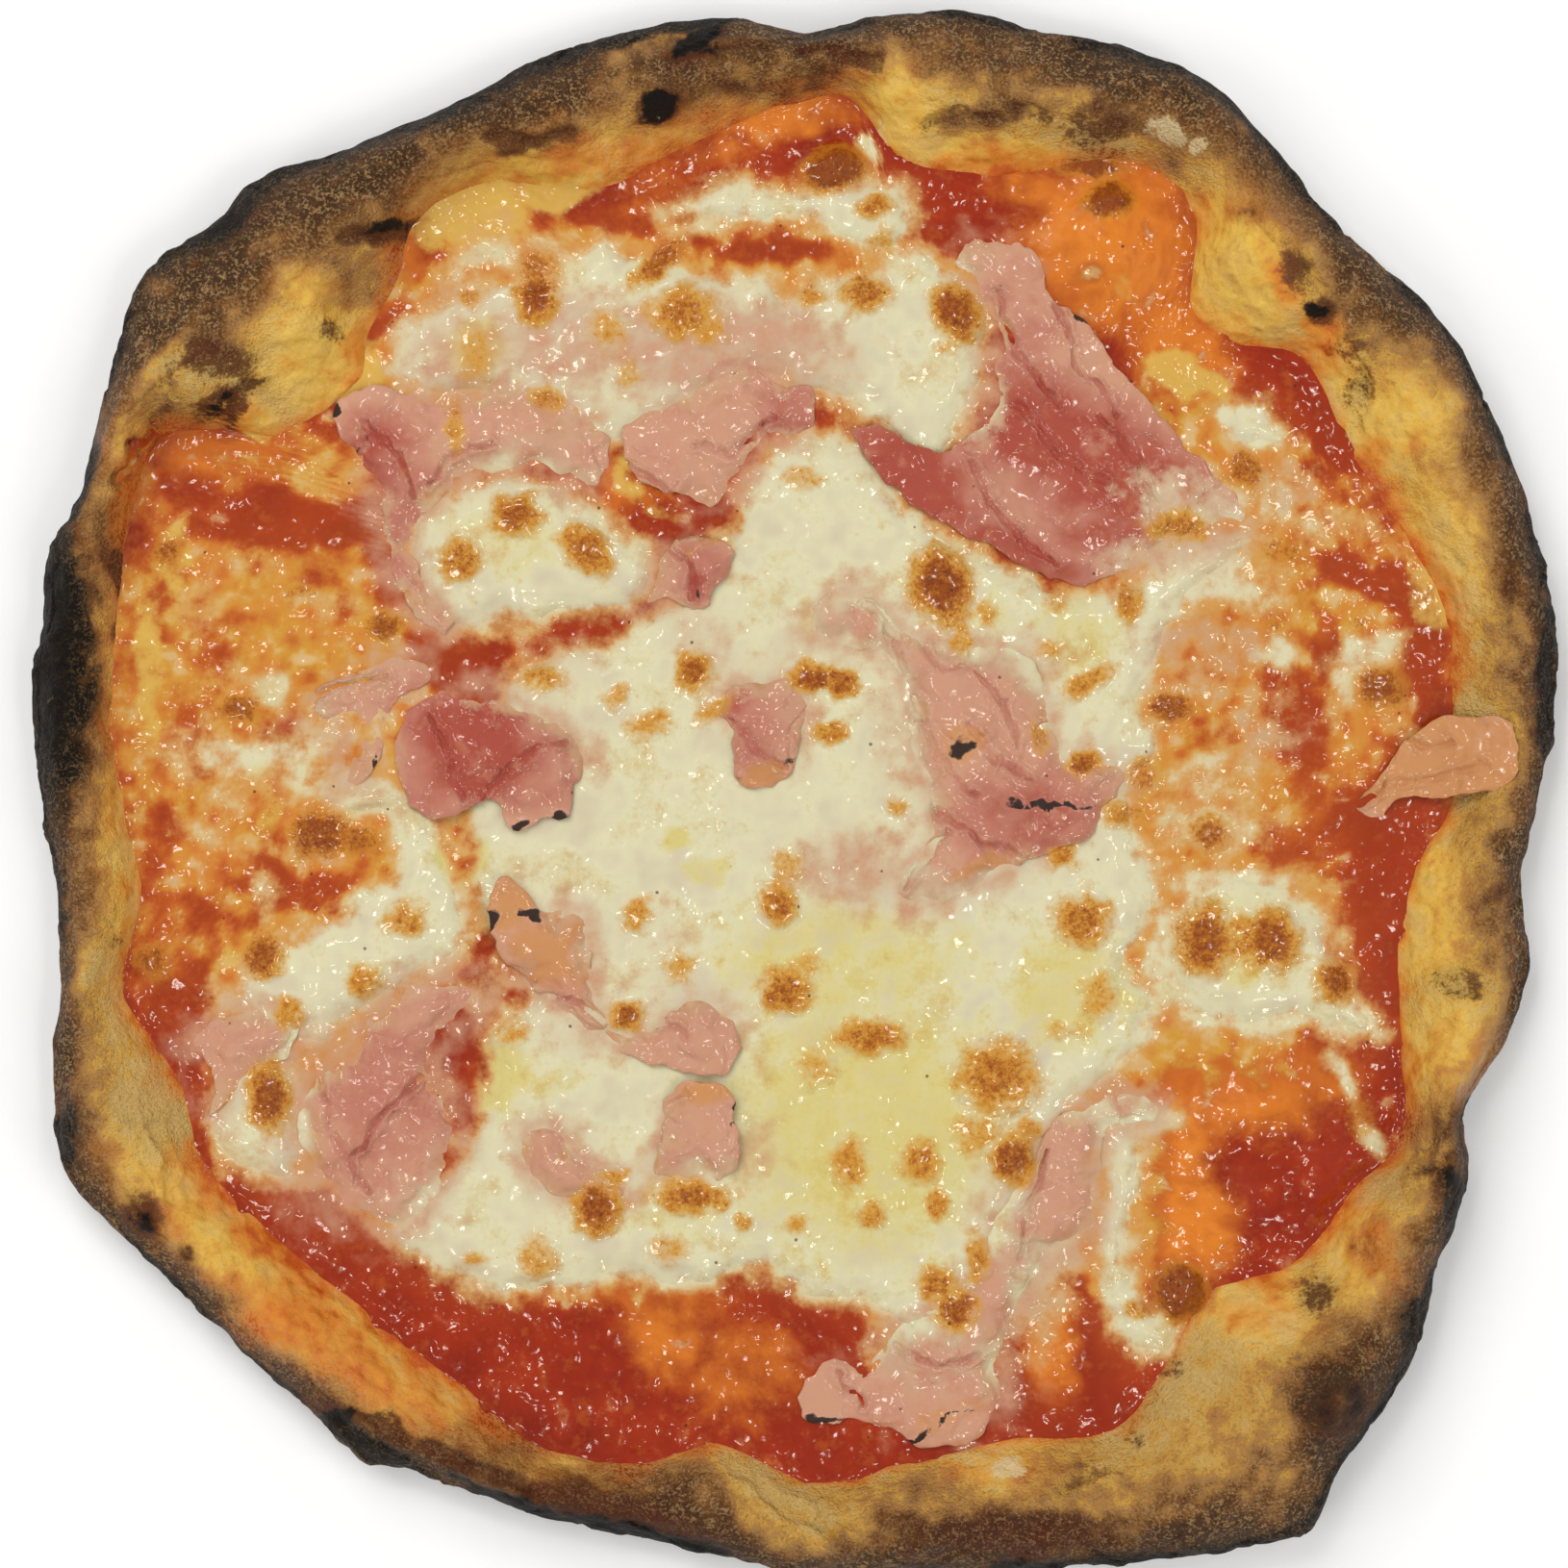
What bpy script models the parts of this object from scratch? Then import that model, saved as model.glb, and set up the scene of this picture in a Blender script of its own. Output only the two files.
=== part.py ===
# A whole baked ham pizza, about 30 cm across, lying on its flat underside.
# The crust carries the sauce, the sauce carries the cheese, and the ham slices lie on top.
# Lengths below are in millimetres in the plan view (x right, y up) and become metres at the end.
import math

import bmesh
import bpy
import numpy as np
from mathutils import Vector, noise
from mathutils.bvhtree import BVHTree
from mathutils.geometry import delaunay_2d_cdt

MM = 0.001
GAP = 0.3

# crust
ANGLE_STEPS = 108
DOUGH_HEIGHT = 4.6
BASE_INSET = 7.0
WELL_STATIONS = (0.0, 0.2, 0.38, 0.54, 0.68, 0.8, 0.9, 1.0)
RIM_STATIONS = (
    (0.1, 0.24),
    (0.22, 0.50),
    (0.36, 0.78),
    (0.52, 0.96),
    (0.68, 0.97),
    (0.83, 0.80),
    (0.95, 0.54),
    (1.0, 0.33),
    (0.985, 0.13),
)
BASE_STATIONS = (1.0, 0.55, 0.0)
RIM_LUMP = 1.7
RIM_LUMP_SIZE = 24.0
RIM_CRAG = 0.9
RIM_CRAG_SIZE = 8.0
WELL_LUMP = 0.5
WELL_LUMP_SIZE = 26.0

# sauce and toppings
SAUCE_THICK = 1.2
SAUCE_EDGE = 0.5
CHEESE_THICK = 2.1
CHEESE_EDGE = 0.5
CHEESE_SPACING = 8.0
NARROW_PATCH = 17.0
NARROW_SPACING = 3.6
HAM_THICK = 1.3
HAM_EDGE = 1.0
HAM_SPACING = 6.0
TAPER = 5.0

OUTER_EDGE = (
    (150.3, 30), (149.3, 10), (146, -5), (143.5, -20), (145, -35), (140, -50), (132, -64),
    (132, -80), (126.7, -93), (122.8, -108), (116.2, -122), (107.1, -134), (101.4, -145.6),
    (90, -148.7), (74, -151.5), (54, -153.7), (40, -154.4), (20, -154.8), (0, -154.4),
    (-16.7, -150.9), (-36.4, -146.6), (-56, -141.4), (-73, -135), (-86, -131.2), (-97, -121),
    (-109.7, -110.4), (-119.5, -100.6), (-129.3, -90.8), (-140, -81.3), (-145.1, -70.4),
    (-146.2, -50), (-144.8, -36), (-145.1, -23), (-148.3, -5), (-150.4, 11), (-149, 32),
    (-146.9, 46), (-140.9, 58), (-137.4, 72), (-133.5, 86), (-131.3, 95), (-125.8, 104),
    (-112.5, 112.4), (-106.9, 119), (-87, 126.5), (-65.5, 136), (-52, 143), (-35.6, 149),
    (-11, 152), (2, 149.1), (14, 151.2), (32, 153.5), (49, 149), (63.5, 146.5), (81, 139.8),
    (95, 125.4), (110.6, 107.5), (128, 91.7), (135.8, 77), (143.2, 60), (147.5, 45),
)
SAUCE_LINE = (
    (128, 35), (129.5, 15), (129.5, -3), (122, -16), (118.5, -32), (119.5, -50), (119, -70),
    (109, -80), (98, -94), (82, -99), (73, -113), (63, -126), (43, -128), (21, -133),
    (5, -137), (-15, -129), (-30, -133), (-50, -129.5), (-65, -118), (-85, -102),
    (-105, -85.5), (-116, -74), (-121, -57), (-132, -40), (-128.6, -20), (-134.6, 12.8),
    (-133.2, 33), (-130, 56), (-124, 69.5), (-113, 71), (-103, 69), (-93, 73.5), (-85, 80),
    (-84, 88), (-78, 100), (-75, 111), (-62, 119), (-40, 118), (-22, 126), (0, 135),
    (11, 136), (20, 124), (37, 120), (50, 122), (68, 123), (79, 112), (78, 95),
    (86, 88), (99.5, 85), (109, 67.5), (121, 48),
)
# height of the rim's crest at angles in degrees from the right-hand side
CREST_HEIGHTS = (
    (0, 15.5), (25, 17), (45, 19), (62, 17), (80, 18), (100, 17.5), (125, 19.5), (142, 20.5),
    (160, 16), (180, 15), (205, 15.5), (225, 17), (245, 17.5), (268, 15.5), (290, 18.5),
    (306, 22), (322, 20), (340, 17),
)
# bubbles and hollows of the dough: x, y, radius, height
DOUGH_BUBBLES = (
    (62, 108, 15, 5.0), (92, -72, 21, 5.0), (93, -76, 11, -3.2), (8, 122.5, 7, 2.2),
    (76, -99, 8, 2.2), (-26, 134, 8, 2.5), (-80, 110, 9, 2.5), (105, -122, 12, 3.0),
    (90, 104, 13, 2.5), (-113, 84, 11, 2.5), (-118, 96, 10, -1.8), (60, 130, 9, 1.8),
    (-96, 88, 9, 2.0), (128, -60, 10, 2.0), (-60, -130, 10, 2.0), (25, -146, 12, 2.2),
    (88, -125, 16, -2.2), (139, 62, 9, 2.0), (-139, -62, 9, 2.0), (105, 96, 8, -1.8),
)

CHEESE = {
    "cheese_top": (
        (-47, 100), (-43, 106), (-36, 108.5), (-30, 105), (-8, 101), (0, 98), (8, 102),
        (15, 101), (20, 106), (27, 106), (33, 100), (38, 93), (37, 80), (33, 71), (28, 64),
        (17, 72), (4, 78), (-8, 81), (-20, 76), (-33, 69), (-41, 70), (-52, 77),
        (-68, 78), (-79, 80), (-78, 90), (-66, 97), (-56, 99),
    ),
    "cheese_left": (
        (-76, 50), (-73, 55), (-68, 59), (-62, 62), (-55, 62), (-48, 60), (-42, 56), (-36, 52),
        (-30, 48.5), (-27, 41), (-33, 36), (-40, 35), (-47, 34), (-55, 33), (-62, 31),
        (-69, 32), (-75.5, 42),
    ),
    "cheese_centre": (
        (-24, 37), (-20, 46), (-13, 52), (-8, 62), (2, 70), (14, 68), (20, 57), (30, 50),
        (46, 42), (60, 38.5), (74, 44), (84, 50), (91, 49), (80, 38), (73, 28), (68, 15),
        (72, 8), (66, -2), (72, -20), (66, -34), (72, -42), (69, -52), (58, -60), (50, -70),
        (42, -86), (38, -100), (36, -110), (28, -112), (19, -104), (10, -102), (0, -99),
        (-10, -96), (-22, -99), (-36, -97), (-48, -99.5), (-60, -100), (-72, -95), (-80, -88),
        (-70, -78), (-62, -66), (-60, -50), (-52, -38), (-60, -28), (-64, -16), (-63, -4),
        (-58, 6), (-57, 20), (-47, 27), (-38, 27), (-33, 31),
    ),
    "cheese_lower_left": (
        (-90, -3), (-82, -6), (-79, -12), (-80, -19), (-86, -21), (-91, -26), (-99, -29.5),
        (-110, -38), (-108, -45), (-100, -50), (-92, -49), (-84, -44), (-76, -38),
        (-66, -34), (-65, -22), (-68, -12), (-74, -3), (-80, 2),
    ),
    "cheese_far_left": (
        (-115, -63), (-112, -74), (-106, -77.5), (-100, -77), (-96, -72), (-98, -66),
        (-99, -56), (-106, -52), (-112, -55),
    ),
    "cheese_right": (
        (73.5, -33), (76, -25), (82, -19), (92, -17), (100, -20), (105, -26), (108, -34),
        (112, -42), (115, -48), (108, -48), (100, -45), (92, -47), (84, -47), (77, -43),
    ),
    "cheese_upper_right": (
        (84, 70), (86, 73.5), (91, 74.5), (95, 72), (97, 68.5), (92, 67.5), (88, 67),
    ),
    "cheese_upper_rim": (
        (-26, 114), (-14, 119), (-3, 118), (6, 119), (14, 121), (22, 117), (23, 110), (17, 106.5),
        (10, 109), (4, 112.5), (-12, 112),
    ),
    "cheese_lower_right": (
        (62, -66), (69, -68), (69, -80), (65, -92), (69, -100), (76, -106), (74, -112),
        (66, -110), (61, -102), (60, -90), (61, -78),
    ),
}
# brown blisters that stand up from the cheese: x, y, radius, height
BLISTERS = (
    (-51, 99, 5, 1.0), (-22, 94, 6, 1.2), (-27, 103, 5, 0.9), (14, 98, 5, 0.9),
    (32, 93, 5.5, 1.1), (-55, 54, 5, 1.0), (-66, 45, 4.5, 0.8), (-41, 47, 5.5, 1.0),
    (-20, 23, 4, 0.8), (5.5, 22, 5, 0.9), (29, 40, 7, 1.2), (-2, -40, 5, 1.0),
    (15, -49, 6, 1.1), (-94, -9, 6, 1.1), (-77, -26, 4.5, 0.8), (-104, -61, 5.5, 1.1),
    (-51, -93, 5, 0.8), (-39, -83, 5.5, 1.1), (-21, -80.5, 6, 1.0), (25, -74, 4.5, 0.9),
    (40, -57, 8, 1.5), (43, -73, 5, 1.0), (32, -102, 4.5, 0.9), (57, -26, 5.5, 1.1),
    (81, -30, 6.5, 1.4), (94, -30, 6.5, 1.4), (-3, -23, 4, 0.8), (74, 16, 4.5, 0.6),
)

# each slice: its outline, then the line along which it is folded up (empty when it lies flat)
HAM = {
    "ham_upper_right": (
        (
            (31, 105), (35, 109), (42, 108), (48, 107), (49.5, 99), (58, 92), (62.5, 85),
            (70, 76.6), (77.6, 67.5), (88, 57.6), (90, 53), (80, 49), (70, 45), (60, 40.5),
            (50, 41.5), (38, 48), (28, 53), (20, 58.5), (15.5, 64), (10, 71.5), (20, 70.5),
            (27, 67), (34, 69), (39, 77), (38.5, 84), (40, 91), (35, 98),
        ),
        ((30, 68), (36, 60), (42, 50), (50, 45), (60, 42)),
    ),
    "ham_upper_left": (
        (
            (-92, 75), (-88, 79), (-80, 79), (-72, 77), (-64, 78), (-54, 79), (-46, 77),
            (-39, 73), (-36, 69), (-39, 60), (-46, 60.5), (-52, 62.5), (-60, 62.5), (-67, 60),
            (-72, 55), (-76, 48), (-72, 38), (-67, 33), (-69, 30.5), (-75, 34), (-80, 42),
            (-83, 50), (-84, 60), (-88, 67),
        ),
        (),
    ),
    "ham_upper_middle": (
        (
            (-35, 71), (-28, 75), (-18, 80), (-10, 83), (-3, 80), (4, 79), (5, 73), (0, 69),
            (-7, 68), (-9, 62), (-15, 55), (-22, 58), (-30, 60), (-34, 66),
        ),
        (),
    ),
    "ham_left": (
        (
            (-77, 13.5), (-76.7, 15.6), (-69, 20), (-58.5, 19), (-53, 17), (-43, 10),
            (-42, 3), (-45.5, -7.5), (-50, -5), (-55, -9.3), (-58, -3), (-61, -1),
            (-65.5, -4.7), (-71, -7), (-76.7, -2.6), (-79, 4), (-79.5, 9),
        ),
        ((-60, 0), (-54, 5), (-48, 7.5), (-43, 6)),
    ),
    "ham_left_strip": (
        (
            (-97, 15), (-95, 19), (-88, 23), (-80, 26), (-73, 26), (-71.5, 21.5), (-78, 18.5),
            (-81.5, 12), (-82, 5), (-86, 0.5), (-90.5, -0.5), (-89.5, 6), (-88, 12), (-92, 14),
        ),
        (),
    ),
    "ham_lower_left": (
        (
            (-62, -36), (-70, -38), (-76, -38), (-82, -44), (-88, -51), (-94, -56),
            (-98, -62), (-98, -70), (-95, -78), (-91, -85), (-86, -86), (-79, -89),
            (-74, -86), (-70, -79), (-66, -72), (-66, -64), (-72, -58), (-70, -52),
            (-64, -46), (-60, -41),
        ),
        ((-74, -56), (-78, -62), (-84, -66), (-88, -73)),
    ),
    "ham_far_left": (
        (
            (-120, -49), (-112, -45), (-103, -43), (-97.5, -46), (-99, -52), (-106, -56),
            (-110, -60), (-116, -65), (-114, -58),
        ),
        (),
    ),
    "ham_lower_centre": (
        (
            (-61, -29), (-61, -24), (-58, -17), (-54, -19), (-50, -24.5), (-41, -24), (-40, -33),
            (-39, -43), (-33, -48), (-26, -46), (-20, -41), (-14, -42), (-10, -52),
            (-13, -57), (-24, -56), (-34, -52), (-44, -46), (-53, -38),
        ),
        ((-38, -46), (-30, -50), (-20, -50), (-13, -50)),
    ),
    "ham_lower_roll": (
        ((-25, -58.5), (-12.5, -59), (-12, -66), (-10, -71), (-12, -77), (-20, -77),
         (-28, -76), (-26, -68)),
        ((-14, -61), (-13.5, -67), (-13, -73)),
    ),
    "ham_lower_curl": (
        ((-53, -67), (-47, -66), (-44, -72), (-36, -76), (-32, -80), (-40, -82),
         (-50, -79), (-54, -74)),
        (),
    ),
    "ham_centre_right": (
        (
            (1, 31), (3, 36), (10, 39), (18, 36), (24, 30), (34, 29), (42, 28), (48, 24),
            (50, 18), (51, 11), (54, 6), (62, 6), (66.5, 2), (61, -3), (60, -9), (50, -13),
            (42, -17), (36, -20), (22, -24), (20, -17), (26, -11), (27, -3), (24, 5),
            (22, 14), (21, 22), (17, 27), (8, 28),
        ),
        ((30, 22), (34, 12), (38, 2), (46, -2), (57, -3)),
    ),
    "ham_centre_roll": (
        ((0, 23), (-6, 20.5), (-12, 21), (-16, 15), (-12, 11), (-13, 4), (-10, -0.5),
         (-4, 0), (1.5, 6), (2, 12), (2.5, 18)),
        ((-5, 17), (-8, 10), (-8, 4)),
    ),
    "ham_right_rim": (
        (
            (111, -5), (114, -7), (119.7, -2.5), (125, -2.3), (131, -1.2), (137, -1),
            (141, 1.6), (142.6, 7.2), (142, 11.4), (139, 14.2), (134.4, 14.4),
            (128.8, 14.4), (124.6, 12.8), (120, 9), (117, 3.7), (112.5, 0),
        ),
        (),
    ),
    "ham_bottom": (
        (
            (56, -63), (64, -60.5), (73, -62), (71, -66), (62, -68), (60.5, -78), (60, -87),
            (53, -92), (48, -98), (44, -106), (41, -113), (41, -119), (37, -128), (24, -130),
            (14, -125), (3, -126), (0, -121), (2, -115), (8, -112), (14, -116), (18, -108),
            (24, -104), (32, -100), (38, -90), (40, -82), (47, -74), (50, -67),
        ),
        ((22, -126), (28, -123), (37, -118)),
    ),
    "ham_middle_folds": (
        ((-27, 45), (-22, 50), (-16, 50), (-11, 47), (-13, 43), (-16, 38), (-18, 34.5),
         (-22, 36.5), (-26, 37), (-30, 36.5), (-28.5, 41)),
        ((-24, 44), (-18, 45)),
    ),
}

COLOURS = {
    "crust": (0.50, 0.27, 0.08, 1.0),
    "sauce": (0.44, 0.075, 0.015, 1.0),
    "cheese": (0.72, 0.60, 0.34, 1.0),
    "ham": (0.52, 0.20, 0.11, 1.0),
}


def smoothstep(value):
    t = min(max(value, 0.0), 1.0)
    return t * t * (3.0 - 2.0 * t)


def periodic(pairs):
    # a smooth function of the angle through the given (angle, value) pairs
    pairs = sorted((angle % 360.0, value) for angle, value in pairs)
    angles = [a for a, _ in pairs]
    values = [v for _, v in pairs]
    count = len(pairs)

    def value_at(angle):
        angle = angle % 360.0
        i = int(np.searchsorted(angles, angle, side="right")) - 1
        a0 = angles[i % count]
        span = (angles[(i + 1) % count] - a0) % 360.0 or 360.0
        t = ((angle - a0) % 360.0) / span
        p = [values[(i + k) % count] for k in (-1, 0, 1, 2)]
        return 0.5 * (
            2 * p[1]
            + (p[2] - p[0]) * t
            + (2 * p[0] - 5 * p[1] + 4 * p[2] - p[3]) * t * t
            + (3 * p[1] - p[0] - 3 * p[2] + p[3]) * t * t * t
        )

    return value_at


def polar(points):
    return periodic([(math.degrees(math.atan2(y, x)), math.hypot(x, y)) for x, y in points])


def smooth_loop(points, step):
    # closed curve through the points, with a vertex about every step
    count = len(points)
    loop = []
    for i in range(count):
        p = [points[(i + k) % count] for k in (-1, 0, 1, 2)]
        length = math.dist(p[1], p[2])
        parts = max(1, round(length / step))
        for k in range(parts):
            t = k / parts
            loop.append(tuple(
                0.5 * (
                    2 * p[1][c]
                    + (p[2][c] - p[0][c]) * t
                    + (2 * p[0][c] - 5 * p[1][c] + 4 * p[2][c] - p[3][c]) * t * t
                    + (3 * p[1][c] - p[0][c] - 3 * p[2][c] + p[3][c]) * t * t * t
                )
                for c in (0, 1)
            ))
    return loop


def inside(loop, x, y):
    hit = False
    for (x0, y0), (x1, y1) in zip(loop, loop[1:] + loop[:1]):
        if (y0 > y) != (y1 > y) and x < (x1 - x0) * (y - y0) / (y1 - y0) + x0:
            hit = not hit
    return hit


def line_distance(line, x, y, closed):
    ends = line[1:] + line[:1] if closed else line[1:]
    best = 1e9
    for (x0, y0), (x1, y1) in zip(line, ends):
        dx, dy = x1 - x0, y1 - y0
        t = ((x - x0) * dx + (y - y0) * dy) / max(dx * dx + dy * dy, 1e-12)
        t = min(max(t, 0.0), 1.0)
        best = min(best, math.hypot(x - x0 - t * dx, y - y0 - t * dy))
    return best


def lumps(x, y, size, seed):
    return noise.noise(Vector((x / size, y / size, seed)))


outer_radius = polar(OUTER_EDGE)
foot_radius = polar(SAUCE_LINE)
crest_height = periodic(CREST_HEIGHTS)


def bubbles(x, y):
    total = 0.0
    for bx, by, radius, height in DOUGH_BUBBLES:
        total += height * smoothstep(1.0 - math.hypot(x - bx, y - by) / radius)
    return total


def crust_point(station, angle):
    # where one station of the profile stands at one angle
    degrees = math.degrees(angle)
    outer = outer_radius(degrees)
    foot = foot_radius(degrees)
    crest = crest_height(degrees)
    well = len(WELL_STATIONS)
    rim = len(RIM_STATIONS)
    if station < well:
        radius = foot * WELL_STATIONS[station]
        x, y = radius * math.cos(angle), radius * math.sin(angle)
        height = DOUGH_HEIGHT + WELL_LUMP * lumps(x, y, WELL_LUMP_SIZE, 1.3) + bubbles(x, y)
    elif station < well + rim:
        along, rise = RIM_STATIONS[station - well]
        radius = foot + (outer - foot) * along
        x, y = radius * math.cos(angle), radius * math.sin(angle)
        height = DOUGH_HEIGHT + (crest - DOUGH_HEIGHT) * rise
        if station == well + rim - 1:
            height = crest * rise
        rough = smoothstep((rise - 0.2) / 0.3)
        height += rough * RIM_LUMP * lumps(x, y, RIM_LUMP_SIZE, 4.1)
        height += rough * RIM_CRAG * lumps(x, y, RIM_CRAG_SIZE, 7.7)
        if along < 0.9:
            height += bubbles(x, y)
        if 0.9 < along < 1.0:
            radius += 0.5 * lumps(x, y, 10.0, 2.2)
            x, y = radius * math.cos(angle), radius * math.sin(angle)
    else:
        radius = (outer - BASE_INSET) * BASE_STATIONS[station - well - rim]
        x, y = radius * math.cos(angle), radius * math.sin(angle)
        height = 0.0
    return Vector((x, y, height))


def spun_body(stations):
    # a round body whose vertices carry the number of their station as height
    bm = bmesh.new()
    chain = []
    for number in range(stations):
        radius = 0.0 if number in (0, stations - 1) else 100.0
        chain.append(bm.verts.new((radius, 0.0, float(number))))
    edges = [bm.edges.new(pair) for pair in zip(chain, chain[1:])]
    bmesh.ops.spin(
        bm, geom=chain + edges, cent=(0, 0, 0), axis=(0, 0, 1), dvec=(0, 0, 0),
        angle=math.tau, steps=ANGLE_STEPS, use_merge=True, use_duplicate=False,
    )
    bmesh.ops.remove_doubles(bm, verts=bm.verts[:], dist=0.001)
    return bm


def make_crust():
    bm = spun_body(len(WELL_STATIONS) + len(RIM_STATIONS) + len(BASE_STATIONS))
    for vert in bm.verts:
        angle = math.atan2(vert.co.y, vert.co.x)
        vert.co = crust_point(round(vert.co.z), angle)
    return bm


def make_sauce():
    count = len(WELL_STATIONS)
    bm = spun_body(2 * count)
    for vert in bm.verts:
        angle = math.atan2(vert.co.y, vert.co.x)
        station = round(vert.co.z)
        level = min(station, 2 * count - 1 - station)
        place = crust_point(level, angle)
        place.z += GAP
        if station < count:
            edge = smoothstep((1.0 - WELL_STATIONS[level]) / 0.15)
            thick = SAUCE_THICK + 0.3 * lumps(place.x, place.y, 14.0, 9.4)
            place.z += SAUCE_EDGE + (thick - SAUCE_EDGE) * edge
        vert.co = place
    return bm


def top_of(trees, x, y):
    best = None
    for tree in trees:
        hit = tree.ray_cast(Vector((x, y, 80.0)), Vector((0, 0, -1)))
        if hit[0] is not None and (best is None or hit[0].z > best):
            best = hit[0].z
    return best


def plan_mesh(loop, spacing, extra):
    # triangles that fill a closed outline evenly, seen from above
    xs = [p[0] for p in loop]
    ys = [p[1] for p in loop]
    points = list(loop)
    inner = [(x, y) for x, y in extra if inside(loop, x, y)]
    inner = [p for p in inner if line_distance(loop, p[0], p[1], True) > spacing * 0.3]
    rows = int((max(ys) - min(ys)) / (spacing * 0.866)) + 2
    for row in range(rows):
        y = min(ys) + row * spacing * 0.866
        for column in range(int((max(xs) - min(xs)) / spacing) + 2):
            x = min(xs) + (column + 0.5 * (row % 2)) * spacing
            if not inside(loop, x, y) or line_distance(loop, x, y, True) < spacing * 0.5:
                continue
            if all(math.hypot(x - p[0], y - p[1]) > spacing * 0.6 for p in inner):
                points.append((x, y))
    points += inner
    edges = [(i, (i + 1) % len(loop)) for i in range(len(loop))]
    result = delaunay_2d_cdt([Vector(p) for p in points], edges, [], 1, 1e-4)
    return [tuple(v) for v in result[0]], result[2]


def resting_heights(flat, faces, loop, trees, stiffness):
    # the underside of a soft piece: it bridges the edges below it in smooth ramps
    around = [(math.cos(k * math.tau / 8), math.sin(k * math.tau / 8)) for k in range(8)]
    raw, spread = [], []
    for x, y in flat:
        here = top_of(trees, x, y)
        near = [top_of(trees, x + 3.0 * cx, y + 3.0 * cy) for cx, cy in around]
        raw.append(here)
        spread.append(max([here] + [z for z in near if z is not None]))
    links = [set() for _ in flat]
    for face in faces:
        for a in face:
            links[a].update(b for b in face if b != a)
    heights = list(spread)
    for _ in range(stiffness):
        heights = [
            max(r, 0.4 * h + 0.6 * sum(heights[j] for j in link) / len(link))
            for r, h, link in zip(raw, heights, links)
        ]
    heights = [h + GAP for h in heights]
    xs = [p[0] for p in loop]
    ys = [p[1] for p in loop]
    samples = list(loop)
    for x in np.arange(min(xs), max(xs), 1.6):
        for y in np.arange(min(ys), max(ys), 1.6):
            if inside(loop, x, y):
                samples.append((x, y))
    for tree_point in lower_points:
        if inside(loop, tree_point[0], tree_point[1]):
            samples.append(tree_point)
    tops = [(x, y, top_of(trees, x, y)) for x, y in samples]
    for _ in range(6):
        sheet = BVHTree.FromPolygons([(x, y, h) for (x, y), h in zip(flat, heights)], faces)
        lifts = {}
        for x, y, top in tops:
            hit = sheet.ray_cast(Vector((x, y, 80.0)), Vector((0, 0, -1)))
            if hit[0] is None or top is None:
                continue
            short = top + 0.8 * GAP - hit[0].z
            if short > 0.001:
                for corner in faces[hit[2]]:
                    lifts[corner] = max(lifts.get(corner, 0.0), short)
        if not lifts:
            break
        for corner, lift in lifts.items():
            heights[corner] += lift
    return heights


trees = []
lower_points = []


def remember(bm):
    # later pieces rest on this one
    trees.append(BVHTree.FromBMesh(bm))
    lower_points.extend((v.co.x, v.co.y) for v in bm.verts if v.normal.z > 0.1)


def make_slab(outline, spacing, step, thickness, edge, stiffness, extra=()):
    # a sheet that rests on everything below it; thickness and edge are given by functions
    loop = smooth_loop(outline, step)
    flat, faces = plan_mesh(loop, spacing, extra)
    heights = resting_heights(flat, faces, loop, trees, stiffness)
    bm = bmesh.new()
    verts = [bm.verts.new((x, y, h)) for (x, y), h in zip(flat, heights)]
    for face in faces:
        bm.faces.new([verts[i] for i in face])
    grown = bmesh.ops.extrude_face_region(bm, geom=bm.faces[:])
    raised = [g for g in grown["geom"] if isinstance(g, bmesh.types.BMVert)]
    for vert in raised:
        x, y = vert.co.x, vert.co.y
        share = smoothstep(line_distance(loop, x, y, True) / TAPER)
        vert.co.z += edge + (thickness(x, y) - edge) * share
    bmesh.ops.recalc_face_normals(bm, faces=bm.faces[:])
    return bm


def cheese_thickness(x, y):
    thick = CHEESE_THICK + 0.5 * lumps(x, y, 16.0, 3.3)
    for bx, by, radius, height in BLISTERS:
        thick += height * smoothstep(1.25 - math.hypot(x - bx, y - by) / radius)
    return thick


def blister_points():
    # one vertex on each blister's top and a ring round its foot
    points = []
    for bx, by, radius, _ in BLISTERS:
        points.append((bx, by))
        for k in range(6):
            turn = k * math.tau / 6
            points.append((bx + radius * math.cos(turn), by + radius * math.sin(turn)))
    return points


def ham_sheet(fold):
    fold = list(fold)

    def thickness(x, y):
        thick = HAM_THICK + 0.35 * lumps(x, y, 9.0, 6.6)
        if fold:
            thick += 1.8 * smoothstep(1.0 - line_distance(fold, x, y, False) / 5.0)
        return thick

    return thickness


def add_material(name, colour, roughness):
    material = bpy.data.materials.new(name)
    material.use_nodes = True
    shader = material.node_tree.nodes["Principled BSDF"]
    shader.inputs["Base Color"].default_value = colour
    shader.inputs["Roughness"].default_value = roughness
    material.diffuse_color = colour
    return material


def add_node(name, bm, kind, roughness, collection):
    mesh = bpy.data.meshes.new(name)
    bmesh.ops.recalc_face_normals(bm, faces=bm.faces[:])
    if bm.calc_volume(signed=True) < 0.0:
        bmesh.ops.reverse_faces(bm, faces=bm.faces[:])
    bmesh.ops.triangulate(bm, faces=bm.faces[:])
    bm.to_mesh(mesh)
    bm.free()
    mesh.polygons.foreach_set("use_smooth", [True] * len(mesh.polygons))
    mesh.materials.append(add_material(name, COLOURS[kind], roughness))
    node = bpy.data.objects.new(name, mesh)
    collection.objects.link(node)
    return node


for old in list(bpy.data.objects):
    bpy.data.objects.remove(old, do_unlink=True)
pizza = bpy.data.collections.new("ham_pizza")
bpy.context.scene.collection.children.link(pizza)

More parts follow.
